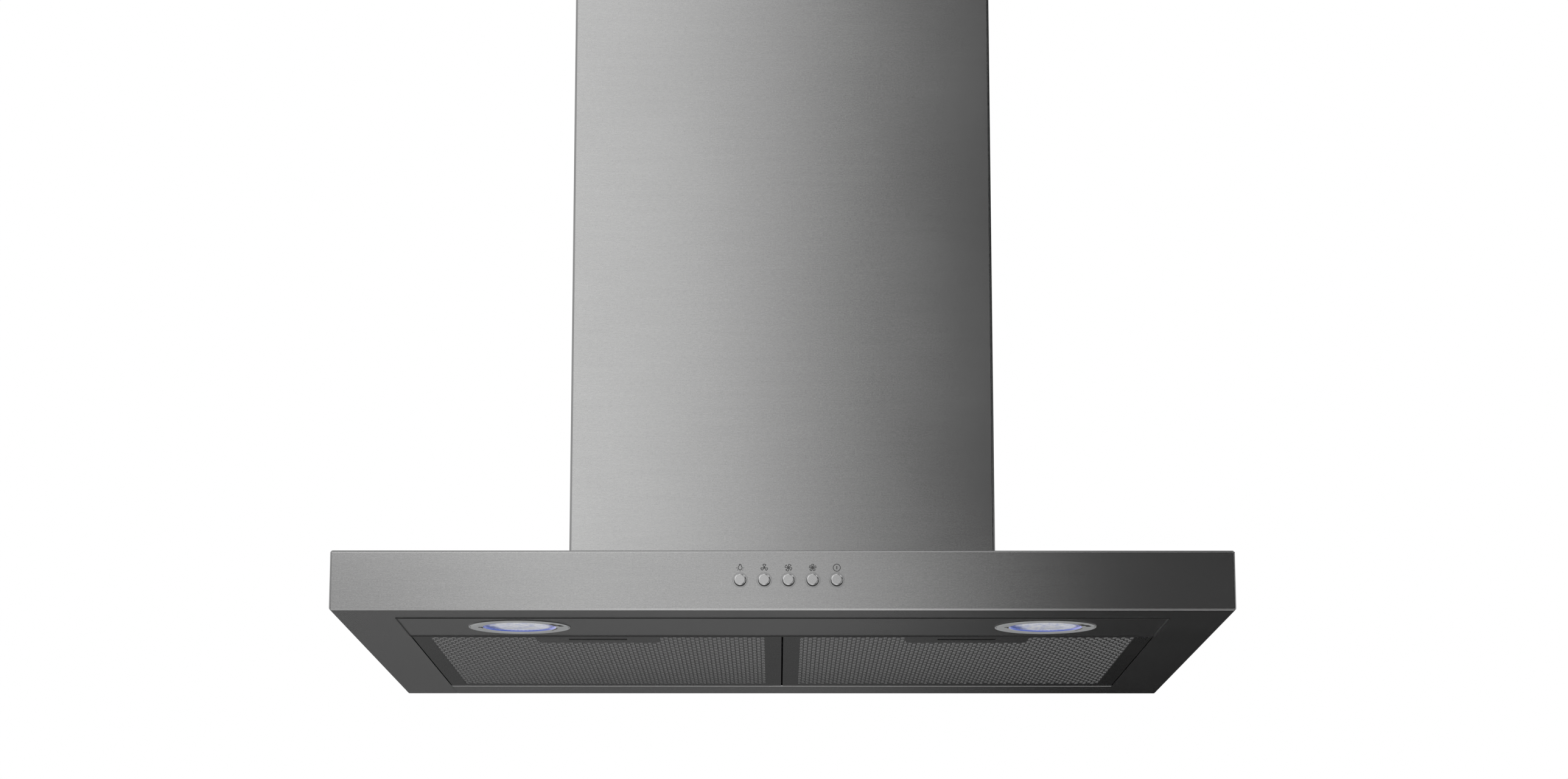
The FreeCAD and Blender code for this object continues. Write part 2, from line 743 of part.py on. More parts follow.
def build_lens(name, side):
    body = lamp_body(f"lamp_lens_{name}", side)
    bulge = size("lens_bulge")
    rim = size("lens_radius") - size("lens_gap")
    dome = (rim * rim + bulge * bulge) / (bulge * 2)
    profile = sketch_on(body, "XZ")
    outline(
        profile,
        (0, lens_low - bulge),
        (rim, lens_low, dome),
        (lens_edge, lens_low),
        (lens_edge, lens_high),
        (0, lens_high),
    )
    revolve(body, profile, "V_Axis")


def build_reflector(name, side):
    body = lamp_body(f"lamp_reflector_{name}", side)
    skin = size("reflector_sheet")
    throat = size("bulb_radius") + size("reflector_throat")
    shoulder = throat + size("reflector_shoulder")
    profile = sketch_on(body, "XZ")
    outline(
        profile,
        (lens_edge - skin, lens_high),
        (lens_edge, lens_high),
        (lens_edge, lens_high + skin * 2),
        (shoulder, reflector_top),
        (throat, reflector_top),
        (throat, reflector_top - skin),
        (shoulder - skin / 2, reflector_top - skin),
        (lens_edge - skin, lens_high + skin),
    )
    revolve(body, profile, "V_Axis")


def build_bulbs_and_sockets():
    bulbs, sockets = [], []
    radius = size("bulb_radius")
    pin_end = reflector_top + size("socket_height") / 2
    tip = lens_high + radius
    for side in SIDES.values():
        x = side * lamp_x
        glass = doc.addObject("Part::Sphere", "Tip")
        bind(glass, "Radius", radius)
        place(glass, x, lamp_y, tip)
        bulbs.append(join(glass, rod("Z", radius, pin_end - tip, x, lamp_y, tip)))
        holder = rod("Z", size("socket_radius"), size("socket_height"), x, lamp_y, reflector_top)
        seat = rod("Z", radius + size("running_gap"), pin_end - reflector_top, x, lamp_y, reflector_top)
        sockets.append(cut(holder, seat))
    piece("lamp_bulbs", group(*bulbs))
    piece("lamp_sockets", group(*sockets))


def build_transformer():
    width, depth = size("transformer_width") / 2, size("transformer_depth") / 2
    high = steel + size("transformer_height")
    body = new_body("lamp_transformer")
    place(body, 0, lamp_y, 0)
    base = sketch_on(body, "XY", steel)
    foot = width + size("transformer_foot")
    rectangle(base, (-foot, foot), (-depth / 2, depth / 2))
    pad(body, base, size("board"))
    case = sketch_on(body, "XY", steel)
    rectangle(case, (-width, width), (-depth, depth))
    pad(body, case, size("transformer_height"))
    round_edges(body, size("transformer_round"), {"z": (high,)})


# Grease filters


def build_filter(name, side):
    x = mirrored(side, filter_inner, filter_outer)
    y = (filter_front, filter_rear)
    z = (filter_low, filter_high)
    border, skin = size("filter_border"), filter_sheet
    middle = side * filter_middle
    whole = block(x, y, z)
    room_x, room_y = (x[0] + skin, x[1] - skin), (y[0] + skin, y[1] - skin)
    room = block(room_x, room_y, (z[0] + skin, z[1] - skin))
    opening_x, opening_y = (x[0] + border, x[1] - border), (handle_front, y[1] - border)
    opening = block(opening_x, opening_y, (z[0] - skin, z[1] + skin))
    span = size("nose_width") / 2 + size("moulding")
    level = size("keeper_level")
    tall = (level - size("moulding"), level + size("nose_thickness"))
    keeper_window = block((middle - span, middle + span), (y[0] - skin, y[0] + skin * 2), tall)
    tab_low = steel * 2 + size("latch_gap")
    tabs = []
    for way in SIDES.values():
        centre = middle + way * (filter_outer - filter_inner) / 4
        reach = size("tab_width") / 2
        tab_y = (y[1] - skin, y[1] + size("tab_length"))
        tabs.append(block((centre - reach, centre + reach), tab_y, (tab_low, tab_low + skin)))
    piece(f"filter_frame_{name}", join(cut(whole, room, opening, keeper_window), *tabs))

    case_half = size("case_width") / 2 + size("latch_gap")
    case_rear = handle_front + size("case_depth") + size("latch_gap")
    bay_x, bay_y = (middle - case_half, middle + case_half), (y[0], case_rear)
    build_perforated_sheet(f"filter_grid_{name}", (room_x, room_y), (opening_x, opening_y), (bay_x, bay_y))
    pack = pleated_sheet(room_x, room_y, (plate_top + skin, z[1] - skin))
    piece(f"filter_mesh_{name}", cut(pack, block(bay_x, bay_y, z)))
    build_handle(f"filter_handle_{name}", middle)
    build_latch(f"filter_latch_{name}", middle)
    build_keeper(f"latch_keeper_{name}", middle)


def build_perforated_sheet(label, sheet_span, hole_span, bay_span):
    """One holed face, thickened. Its holes stand in staggered rows and keep clear of the handle."""
    (low_x, high_x), (low_y, high_y) = ((a.amount, b.amount) for a, b in sheet_span)
    (bay_low, bay_high), (_, bay_rear) = ((a.amount, b.amount) for a, b in bay_span)
    corners = [
        (low_x, low_y),
        (bay_low, low_y),
        (bay_low, bay_rear),
        (bay_high, bay_rear),
        (bay_high, low_y),
        (high_x, low_y),
        (high_x, high_y),
        (low_x, high_y),
    ]
    edge = Part.makePolygon([Vector(a, b, 0) for a, b in corners + corners[:1]])
    pitch, radius = size("perforation_pitch").amount, size("perforation_radius").amount
    row_step = pitch * math.sin(math.radians(60))
    margin = pitch / 2
    (first_x, last_x), (first_y, last_y) = ((a.amount + margin, b.amount - margin) for a, b in hole_span)
    middle = (bay_low + bay_high) / 2
    handle_half = size("handle_width").amount / 2 + margin
    handle_rear = handle_front.amount + size("handle_depth").amount + margin
    holes = []
    for row in range(int((last_y - first_y) / row_step) + 1):
        y = first_y + row * row_step
        x = first_x + (row % 2) * pitch / 2
        while x <= last_x:
            if y > handle_rear or abs(x - middle) > handle_half:
                holes.append(Part.Wire(Part.makeCircle(radius, Vector(x, y, 0))))
            x += pitch
    face = Part.makeFace([edge, *holes], "Part::FaceMakerBullseye")
    thing = doc.addObject("Part::Feature", label)
    thing.Shape = face.extrude(Vector(0, 0, filter_sheet.amount))
    place(thing, 0, 0, plate_top)
    piece(label, thing)


def pleated_sheet(x, y, z):
    """Wire mesh folded into pleats, which fill the space between two levels."""
    (low_x, high_x), (low_y, high_y), (low_z, high_z) = ((a.amount, b.amount) for a, b in (x, y, z))
    count = max(round((high_x - low_x) / size("pleat_pitch").amount), 1)
    step = (high_x - low_x) / count
    sheet_height = filter_sheet.amount * 2
    crest = high_z - sheet_height
    under = []
    for i in range(count):
        start = low_x + i * step
        for quarter, level in enumerate((low_z, low_z, crest, crest)):
            under.append((start + step * quarter / 4, level))
    under.append((high_x, low_z))
    over = [(along, up + sheet_height) for along, up in reversed(under)]
    corners = [Vector(along, low_y, up) for along, up in under + over]
    face = Part.Face(Part.makePolygon(corners + corners[:1]))
    thing = doc.addObject("Part::Feature", "Pleats")
    thing.Shape = face.extrude(Vector(0, high_y - low_y, 0))
    return thing


def build_handle(label, middle):
    """A flat plate with a finger slot, and the case of the latch on top of it."""
    wide, narrow = size("handle_width") / 2, size("handle_width") / 2 - size("handle_taper")
    rear = handle_front + size("handle_depth")
    body = new_body(label)
    plate = sketch_on(body, "XY", filter_low)
    outline(
        plate,
        (middle - wide, handle_front),
        (middle + wide, handle_front),
        (middle + narrow, rear),
        (middle - narrow, rear),
    )
    pad(body, plate, filter_sheet)
    round_edges(body, size("handle_corner"), {"x": (middle - narrow, middle + narrow), "y": (rear,)})
    case = sketch_on(body, "XY", plate_top)
    case_half, wall_thickness = size("case_width") / 2, size("case_wall")
    case_rear = handle_front + size("case_depth")
    rectangle(case, (middle - case_half, middle + case_half), (handle_front, case_rear))
    pad(body, case, size("case_height"))
    room = sketch_on(body, "XY", plate_top)
    room_half = case_half - wall_thickness
    rectangle(room, (middle - room_half, middle + room_half), (filter_front, case_rear - wall_thickness))
    pocket(body, room, size("case_height") - wall_thickness, along_normal=True)
    slot = sketch_on(body, "XY", filter_low)
    slot_front = handle_front + size("slot_setback")
    slot_half = size("slot_width") / 2
    rectangle(slot, (middle - slot_half, middle + slot_half), (slot_front, slot_front + size("slot_depth")))
    pocket(body, slot, filter_sheet, along_normal=True)


def build_latch(label, middle):
    """The sliding latch: a bar in the case, a nose over the keeper and a rib in the finger slot."""
    gap = size("latch_gap")
    bar_half = size("case_width") / 2 - size("case_wall") - gap
    bar_front = handle_front + gap
    bar_rear = handle_front + size("case_depth") - size("case_wall") - size("latch_travel") - gap
    nose_low = size("keeper_level") + size("keeper_sheet") + gap
    nose_high = nose_low + size("nose_thickness")
    nose_half = size("nose_width") / 2
    tip = keeper_end - size("keeper_bite")
    bar = block((middle - bar_half, middle + bar_half), (bar_front, bar_rear), (plate_top + gap, nose_high))
    nose = block((middle - nose_half, middle + nose_half), (tip, bar_rear), (nose_low, nose_high))
    rib_front = handle_front + size("slot_setback") + gap
    rib_half = size("slot_width") / 2 - gap
    rib_y = (rib_front, rib_front + size("rib"))
    rib = block((middle - rib_half, middle + rib_half), rib_y, (filter_low, nose_high))
    piece(label, join(bar, nose, rib))


def build_keeper(label, middle):
    """A bent leaf of spring steel on the lamp panel's rear edge, whose tongue lies under the latch."""
    leaf, level = size("keeper_sheet"), size("keeper_level")
    leaf_half = size("nose_width") / 2 - leaf
    leaf_front = lamp_panel_rear - steel - leaf
    x = (middle - leaf_half, middle + leaf_half)
    upright = block(x, (leaf_front, leaf_front + leaf), (level, size("panel_flange")))
    tongue = block(x, (leaf_front, keeper_end), (level, level + leaf))
    piece(label, join(upright, tongue))


# Blower


def build_blower_box():
    flange = size("box_flange")
    shell = block((-box_half, box_half), (box_front, wall), (canopy_top, box_top))
    foot_half = box_half + flange
    foot = block((-foot_half, foot_half), (box_front - flange, wall), (canopy_top, canopy_top + steel))
    ear_half = box_half + size("ear_width")
    back = block((-ear_half, ear_half), (-steel, wall), (canopy_top, box_top))
    room_half = box_half - steel
    room_tall = (canopy_top - steel, box_top - steel)
    room = block((-room_half, room_half), (box_front + steel, -steel), room_tall)
    outlet = rod("Z", size("duct_radius") - size("collar_wall"), steel * 3, 0, duct_y, box_top - steel * 2)
    holes = [outlet]
    ear_middle = box_half + size("ear_width") / 2
    upper_row = box_top - size("wall_hole_edge")
    for side in SIDES.values():
        for z in (upper_row, upper_row - size("wall_hole_rise")):
            holes.append(rod("Y", size("wall_hole_radius"), steel * 3, side * ear_middle, -steel * 2, z))
    for x, y in box_screw_places:
        holes.append(rod("Z", screw_hole, steel * 3, x, y, canopy_top - steel))
    for x, y in collar_screw_places():
        holes.append(rod("Z", screw_hole, steel * 3, x, y, box_top - steel * 2))
    piece("blower_box", cut(join(shell, foot, back), room, *holes))


def collar_screw_places():
    ring = size("duct_radius") + size("collar_flange") / 2
    slant = ring * math.sqrt(0.5)
    return [(a * slant, duct_y + b * slant) for a in (-1, 1) for b in (-1, 1)]


def scroll_outline(sketch, wall_thickness, top):
    """The scroll from the side: three quarter arcs, each wider than the last, then straight up."""
    tongue_y = fan_y + size("tongue_offset") - wall_thickness
    left_y, right_y = fan_y - growth / 2, fan_y + growth / 2
    low_z, high_z = fan_z - growth / 2, fan_z + growth / 2
    outer = [volute_start + growth * quarter + wall_thickness for quarter in range(3)]
    outline(
        sketch,
        (tongue_y, top),
        (tongue_y, low_z + outer[0]),
        (left_y, low_z + outer[0]),
        (left_y - outer[0], low_z, outer[0]),
        (right_y, low_z - outer[1], outer[1]),
        (right_y + outer[2], high_z, outer[2]),
        (right_y + outer[2], top),
    )
    return sketch


def build_scroll():
    top = box_top - steel
    wrap = new_body("scroll_wrap")
    pad(wrap, scroll_outline(sketch_on(wrap, "YZ"), scroll_wall, top), size("scroll_width"), middle=True)
    inside = scroll_outline(sketch_on(wrap, "YZ"), as_size(0), top + steel)
    pocket(wrap, inside, size("scroll_width") * 2, middle=True)
    for name, side in SIDES.items():
        plate = new_body(f"scroll_side_{name}")
        near = scroll_half if side > 0 else -side_plate_face
        sketch = scroll_outline(sketch_on(plate, "YZ", near), scroll_wall, top)
        circle(sketch, fan_y, fan_z, inlet_radius)
        pad(plate, sketch, size("scroll_plate"))


def build_impeller():
    """A double-inlet wheel: a middle disc and hub, forward-curved blades and a ring at each end."""
    body = new_body("impeller")
    place(body, 0, fan_y, fan_z)
    depth, thickness = size("blade_depth"), size("blade_thickness")
    outside, inside = impeller_radius, inlet_radius
    disc = circle(sketch_on(body, "YZ"), 0, 0, outside - depth / 3)
    pad(body, disc, thickness, middle=True)
    blade = sketch_on(body, "YZ")
    sweep = depth / 3
    outline(
        blade,
        (inside, -thickness / 2),
        (outside, sweep - thickness / 2, depth * 1.6),
        (outside, sweep + thickness / 2),
        (inside, thickness / 2, -depth * 1.6 + thickness),
    )
    blade_pad = pad(body, blade, impeller_half * 2, middle=True)
    repeat_round(body, blade_pad, blade, size("blade_count"))
    ring_height = thickness * 2
    for side in SIDES.values():
        ring = sketch_on(body, "YZ", impeller_half - ring_height if side > 0 else -impeller_half)
        circle(ring, 0, 0, outside + thickness)
        circle(ring, 0, 0, outside - depth / 3)
        pad(body, ring, ring_height)
    hub = circle(sketch_on(body, "YZ"), 0, 0, size("hub_radius"))
    pad(body, hub, size("hub_length"), middle=True)
    bore = circle(sketch_on(body, "YZ"), 0, 0, size("shaft_radius") + size("running_gap") / 2)
    pocket(body, bore, size("hub_length") * 2, middle=True)


# The motor's pieces are turned about the fan axis. Their profiles are (along the axis, radius).
motor_flange_face = side_plate_face + size("bracket_plate")
motor_open_end = motor_flange_face + size("motor_wall")
motor_closed_end = motor_open_end - size("motor_length")
motor_bore = size("shaft_radius") + size("running_gap")
motor_flange = motor_radius + size("bracket_plate") * 3


def turned(label, *corners):
    body = new_body(label)
    place(body, 0, fan_y, fan_z)
    profile = outline(sketch_on(body, "XY"), *corners)
    revolve(body, profile, "H_Axis")


def build_motor():
    skin, outside = size("motor_wall"), motor_radius
    turned(
        "motor_case",
        (motor_closed_end, motor_bore),
        (motor_closed_end, outside),
        (motor_flange_face, outside),
        (motor_flange_face, motor_flange),
        (motor_open_end, motor_flange),
        (motor_open_end, outside - skin),
        (motor_closed_end + skin, outside - skin),
        (motor_closed_end + skin, motor_bore),
    )
    cover_end = motor_open_end + skin * 5
    turned(
        "motor_cover",
        (motor_open_end, motor_bore),
        (motor_open_end, motor_flange - skin),
        (motor_open_end + skin, motor_flange - skin),
        (motor_open_end + skin * 3, size("hub_radius") + skin * 3),
        (cover_end, size("hub_radius")),
        (cover_end, motor_bore),
    )
    rotor_room = size("rotor_radius") + size("air_gap")
    coil = (motor_closed_end + skin * 3, motor_open_end - skin * 3)
    turned(
        "motor_stator",
        (coil[0], rotor_room),
        (coil[0], outside - skin - size("running_gap")),
        (coil[1], outside - skin - size("running_gap")),
        (coil[1], rotor_room),
    )
    rotor = (coil[0] + skin, coil[1] - skin)
    shaft = size("shaft_radius")
    turned(
        "motor_shaft",
        (-size("hub_length"), 0),
        (-size("hub_length"), shaft),
        (rotor[0], shaft),
        (rotor[0], size("rotor_radius")),
        (rotor[1], size("rotor_radius")),
        (rotor[1], shaft),
        (cover_end + skin, shaft),
        (cover_end + skin, 0),
    )


def build_motor_bracket():
    body = new_body("motor_bracket")
    place(body, 0, fan_y, fan_z)
    ring = sketch_on(body, "YZ", side_plate_face)
    circle(ring, 0, 0, motor_flange)
    circle(ring, 0, 0, motor_radius + size("running_gap"))
    pad(body, ring, size("bracket_plate"))
    arm = sketch_on(body, "YZ", side_plate_face)
    width = size("arm_width") / 2
    reach = inlet_radius + size("bracket_reach")
    rectangle(arm, (motor_radius + size("bracket_plate"), reach), (-width, width))
    arm_pad = pad(body, arm, size("bracket_plate"))
    repeat_round(body, arm_pad, arm, 3)


# Duct collar and damper


def build_collar():
    body = new_body("duct_collar")
    place(body, 0, duct_y, box_top)
    outside, inside = size("duct_radius"), size("duct_radius") - size("collar_wall")
    ledge = inside - size("flap_gap") * 2
    ledge_top = size("damper_level") - size("flap_drop") - size("flap_thickness") - size("latch_gap")
    profile = sketch_on(body, "XZ")
    outline(
        profile,
        (inside, 0),
        (outside + size("collar_flange"), 0),
        (outside + size("collar_flange"), size("collar_foot")),
        (outside + size("collar_stop"), size("collar_foot")),
        (outside + size("collar_stop"), size("collar_foot") + size("collar_stop_height")),
        (outside, size("collar_foot") + size("collar_stop_height")),
        (outside, size("collar_height")),
        (inside, size("collar_height")),
        (inside, ledge_top),
        (ledge, ledge_top),
        (inside, ledge_top - size("flap_gap") * 2),
    )
    revolve(body, profile, "V_Axis")
    pin_hole = sketch_on(body, "YZ")
    circle(pin_hole, 0, size("damper_level"), size("pin_radius") + size("running_gap"))
    pocket(body, pin_hole, outside * 4, middle=True)
    screws = sketch_on(body, "XY")
    for x, y in collar_screw_places():
        circle(screws, x, y - duct_y, screw_hole)
    pocket(body, screws, size("collar_foot"), along_normal=True)
    piece("damper_pin", rod("X", size("pin_radius"), outside * 2, -outside, duct_y, pin_z))


def build_flap(name, side, knuckles):
    """Half a disc below the pin, with two hinge knuckles. side is -1 for the front half."""
    radius = size("duct_radius") - size("collar_wall") - size("flap_gap")
    edge = size("knuckle_radius") + size("latch_gap")
    low = pin_z - size("flap_drop") - size("flap_thickness")
    disc = rod("Z", radius, size("flap_thickness"), 0, duct_y, low)
    span = mirrored(side, edge, radius * 2)
    kept = block((-radius, radius), (duct_y + span[0], duct_y + span[1]), (low, pin_z))
    plate = doc.addObject("Part::Common", "HalfDisc")
    plate.Base, plate.Tool = disc, kept
    solids, bores = [plate], []
    length = size("knuckle_length")
    for start in knuckles:
        solids.append(rod("X", size("knuckle_radius"), length, start, duct_y, pin_z))
        web = mirrored(side, as_size(0), edge + size("knuckle_radius"))
        solids.append(block((start, start + length), (duct_y + web[0], duct_y + web[1]), (low, pin_z)))
        bore = size("pin_radius") + size("running_gap")
        bores.append(rod("X", bore, length * 2, start - length / 2, duct_y, pin_z))
    piece(f"damper_flap_{name}", cut(join(*solids), *bores))


def build_damper():
    step = size("knuckle_length") + size("latch_gap")
    build_flap("front", -1, [step * -2.5, step * 0.5])
    build_flap("rear", 1, [step * -1.5, step * 1.5])


# Electrical parts beside the blower box


def build_terminal_box():
    skin = size("moulding")
    x = (box_half, box_half + size("terminal_depth"))
    middle = box_front / 2
    y = (middle - size("terminal_width") / 2, middle + size("terminal_width") / 2)
    low = canopy_top + size("terminal_rise")
    z = (low, low + size("terminal_height"))
    shell = block(x, y, z)
    room = block((x[0] + skin, x[1] + skin), (y[0] + skin, y[1] - skin), (z[0] + skin, z[1] - skin))
    gland_x = (x[0] + x[1]) / 2
    neck = size("gland_radius") - skin
    hole = rod("Z", neck + size("screw_gap"), skin * 3, gland_x, middle, z[1] - skin * 2)
    piece("terminal_box", cut(shell, room, hole))
    piece("terminal_lid", block((x[1], x[1] + skin), y, z))
    body = new_body("cable_gland")
    place(body, gland_x, middle, z[1])
    top, bore = size("gland_length"), size("cable_radius")
    profile = sketch_on(body, "XZ")
    outline(
        profile,
        (bore, -skin * 2),
        (neck, -skin * 2),
        (neck, 0),
        (size("gland_radius"), 0),
        (size("gland_radius"), top / 2),
        (neck, top),
        (bore, top),
    )
    revolve(body, profile, "V_Axis")


def build_capacitor():
    radius, band = size("capacitor_radius"), size("band")
    x = -box_half - radius - band
    y = box_front / 2
    low = canopy_top + size("capacitor_rise")
    can = rod("Z", radius, size("capacitor_length"), x, y, low)
    piece("capacitor", can)
    height = size("band_height")
    band_low = low + (size("capacitor_length") - height) / 2
    ring = rod("Z", radius + band, height, x, y, band_low)
    foot_half = radius + band * 8
    foot = block((-box_half - band, -box_half), (y - foot_half, y + foot_half), (band_low, band_low + height))
    bore = rod("Z", radius + size("running_gap"), height * 2, x, y, band_low - height / 2)
    piece("capacitor_clip", cut(join(ring, foot), bore))


# Chimney


def channel(body, outside, front_face, rear_face, bottom, height):
    """A folded cover, open at the wall, with its rear edges turned in."""
    lip = outside - size("return_width")
    inside = outside - steel
    sketch = sketch_on(body, "XY", bottom)
    outline(
        sketch,
        (-lip, rear_face),
        (-outside, rear_face),
        (-outside, front_face),
        (outside, front_face),
        (outside, rear_face),
        (lip, rear_face),
        (lip, rear_face - steel),
        (inside, rear_face - steel),
        (inside, front_face + steel),
        (-inside, front_face + steel),
        (-inside, rear_face - steel),
        (-lip, rear_face - steel),
    )
    pad(body, sketch, height)
    round_edges(body, size("chimney_bend"), {"x": (-outside, outside), "y": (front_face,)})
    inner_fold = {"x": (-inside, inside), "y": (front_face + steel,)}
    round_edges(body, size("chimney_bend") - steel, inner_fold)


def build_lower_chimney():
    body = new_body("chimney_lower")
    channel(body, chimney_half, chimney_front, wall, canopy_top, size("lower_height"))
    inside, foot_inside = chimney_half - steel, chimney_half - steel - size("foot_width")
    foot_front = chimney_front + steel + size("foot_width")
    foot_rear = -size("foot_width") * 2
    foot = sketch_on(body, "XY", canopy_top)
    outline(
        foot,
        (-inside, foot_rear),
        (-inside, chimney_front + steel),
        (inside, chimney_front + steel),
        (inside, foot_rear),
        (foot_inside, foot_rear),
        (foot_inside, foot_front),
        (-foot_inside, foot_front),
        (-foot_inside, foot_rear),
    )
    pad(body, foot, steel)
    holes = sketch_on(body, "XY", canopy_top)
    for x, y in chimney_screw_places:
        circle(holes, x, y, screw_hole)
    pocket(body, holes, steel, along_normal=True)


bracket_high = upper_top - size("bracket_drop")
bracket_middle = bracket_high - size("bracket_height") / 2
bracket_screw_y = -size("bracket_step") - size("bracket_tab") / 2


def build_upper_chimney():
    body = new_body("chimney_upper")
    channel(body, upper_half, upper_front, upper_rear, upper_bottom, size("upper_height"))
    holes = sketch_on(body, "YZ")
    circle(holes, bracket_screw_y, bracket_middle, screw_hole)
    pocket(body, holes, upper_half * 3, middle=True)


def build_chimney_bracket():
    """A bent strip: flat on the wall, stepped forward past the cover's edges, then along its sides."""
    body = new_body("chimney_bracket")
    sheet_metal, step = size("bracket_sheet"), size("bracket_step")
    at_wall, at_side = upper_half - size("return_width") - size("bracket_clear"), upper_half - steel
    tab_end = -step - size("bracket_tab")
    sketch = sketch_on(body, "XY", bracket_high - size("bracket_height"))
    right = [
        (at_wall, wall),
        (at_wall, sheet_metal - step),
        (at_side, sheet_metal - step),
        (at_side, tab_end),
        (at_side - sheet_metal, tab_end),
        (at_side - sheet_metal, -step),
        (at_wall - sheet_metal, -step),
        (at_wall - sheet_metal, -sheet_metal),
    ]
    left = [(-x, y) for x, y in reversed(right)]
    outline(sketch, *right, *left)
    pad(body, sketch, size("bracket_height"))
    wall_holes = sketch_on(body, "XZ")
    for side in SIDES.values():
        circle(wall_holes, side * size("bracket_spacing") / 2, bracket_middle, size("wall_hole_radius"))
    pocket(body, wall_holes, sheet_metal, along_normal=True)
    side_holes = sketch_on(body, "YZ")
    circle(side_holes, bracket_screw_y, bracket_middle, screw_hole)
    pocket(body, side_holes, at_side * 3, middle=True)


# Fasteners


def build_screws():
    length = size("screw_length")
    boxed = [screw("Z", -1, x, y, canopy_top + steel, length) for x, y in box_screw_places]
    piece("box_screws", group(*boxed))
    footed = [screw("Z", -1, x, y, canopy_top + steel, length) for x, y in chimney_screw_places]
    piece("chimney_screws", group(*footed))
    collared = [
        screw("Z", -1, x, y, box_top + size("collar_foot"), length) for x, y in collar_screw_places()
    ]
    piece("collar_screws", group(*collared))
    bracketed = [
        screw("X", -side, side * upper_half, bracket_screw_y, bracket_middle, length)
        for side in SIDES.values()
    ]
    piece("bracket_screws", group(*bracketed))


def build():
    build_canopy_shell()
    build_canopy_back()
    build_lamp_panel()
    build_rear_panel()
    for name, x in zip(BUTTONS, button_places):
        build_button(name, x)
    build_button_sleeves()
    build_switch()
    for name, side in SIDES.items():
        build_bezel(name, side)
        build_lens(name, side)
        build_reflector(name, side)
        build_filter(name, side)
    build_bulbs_and_sockets()
    build_transformer()
    build_blower_box()
    build_scroll()
    build_impeller()
    build_motor()
    build_motor_bracket()
    build_collar()
    build_damper()
    build_terminal_box()
    build_capacitor()
    build_lower_chimney()
    build_upper_chimney()
    build_chimney_bracket()
    build_screws()
    doc.recompute()


def check_and_write():
    for thing in doc.Objects:
        assert not {"Invalid", "Error"} & set(thing.State), f"{thing.Label} failed: {thing.State}"
    for thing in pieces:
        shape = thing.Shape
        assert not shape.isNull() and shape.isValid() and shape.Solids, f"{thing.Label} has no valid solid"
    os.makedirs("parts", exist_ok=True)
    for thing in pieces:
        thing.Shape.exportStep(os.path.join("parts", f"{thing.Label}.step"))


build()
check_and_write()
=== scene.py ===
import bpy
import bmesh
import json
import math
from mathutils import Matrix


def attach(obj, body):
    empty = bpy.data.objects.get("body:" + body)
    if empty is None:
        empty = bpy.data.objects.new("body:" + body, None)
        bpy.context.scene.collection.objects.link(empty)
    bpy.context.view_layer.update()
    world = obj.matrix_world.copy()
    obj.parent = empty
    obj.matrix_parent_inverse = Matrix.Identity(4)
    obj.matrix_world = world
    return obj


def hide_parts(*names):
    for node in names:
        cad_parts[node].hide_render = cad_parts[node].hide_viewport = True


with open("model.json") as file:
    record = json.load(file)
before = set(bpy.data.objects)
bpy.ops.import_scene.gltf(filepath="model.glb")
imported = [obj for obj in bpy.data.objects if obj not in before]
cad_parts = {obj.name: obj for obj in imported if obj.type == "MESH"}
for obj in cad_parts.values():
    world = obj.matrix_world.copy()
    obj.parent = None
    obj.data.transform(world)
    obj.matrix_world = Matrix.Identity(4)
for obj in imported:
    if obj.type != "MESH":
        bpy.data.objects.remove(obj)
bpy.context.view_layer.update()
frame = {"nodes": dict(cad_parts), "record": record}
nodes = frame["nodes"]
scene = bpy.context.scene
scene.view_settings.view_transform = "Standard"
mm = 0.001
print("frame loaded:", len(nodes), "nodes")


class Wire:
    # one socket of a node tree; sums on it add Math nodes
    def __init__(self, tree, socket=None):
        self.tree = tree
        self.socket = socket

    def add(self, kind, settings=None, sockets=None, out=0):
        node = self.tree.nodes.new("ShaderNode" + kind)
        for name, value in (settings or {}).items():
            if name == "stops":
                setStops(node.color_ramp, value)
            else:
                setattr(node, name, value)
        for name, value in (sockets or {}).items():
            if isinstance(value, Wire):
                self.tree.links.new(value.socket, node.inputs[name])
            else:
                node.inputs[name].default_value = value
        if isinstance(out, tuple):
            return [Wire(self.tree, node.outputs[one]) for one in out]
        return Wire(self.tree, node.outputs[out])

    def sums(self, operation, first, second=0.0, third=0.0):
        return self.add("Math", {"operation": operation}, {0: first, 1: second, 2: third})

    def __add__(self, other):
        return self.sums("ADD", self, other)

    def __radd__(self, other):
        return self.sums("ADD", other, self)

    def __sub__(self, other):
        return self.sums("SUBTRACT", self, other)

    def __rsub__(self, other):
        return self.sums("SUBTRACT", other, self)

    def __mul__(self, other):
        return self.sums("MULTIPLY", self, other)

    def __rmul__(self, other):
        return self.sums("MULTIPLY", other, self)

    def __truediv__(self, other):
        return self.sums("DIVIDE", self, other)

    def __pow__(self, other):
        return self.sums("POWER", self, other)

    def __gt__(self, other):
        return self.sums("GREATER_THAN", self, other)

    def __abs__(self):
        return self.sums("ABSOLUTE", self)

    def clip(self):
        return self.add("Clamp", None, {0: self, 1: 0.0, 2: 1.0})

    def fade(self, low, high):
        return self.add("MapRange", {"interpolation_type": "SMOOTHSTEP"},
                        {0: self, 1: low, 2: high, 3: 0.0, 4: 1.0})


def setStops(ramp, stops):
    ramp.interpolation = "EASE"
    while len(ramp.elements) < len(stops):
        ramp.elements.new(1.0)
    for element, (place, colour) in zip(ramp.elements, stops):
        element.position = place
        element.color = (*colour, 1.0)


def grey(value):
    return (value, value, value)


def full(colour):
    return (*colour, 1.0)


def newFinish(name):
    material = bpy.data.materials.new(name)
    material.use_nodes = True
    material.node_tree.nodes.clear()
    return material, Wire(material.node_tree)


def closeFinish(start, sockets):
    surface = start.add("BsdfPrincipled", None, sockets)
    start.add("OutputMaterial", None, {"Surface": surface}, ())


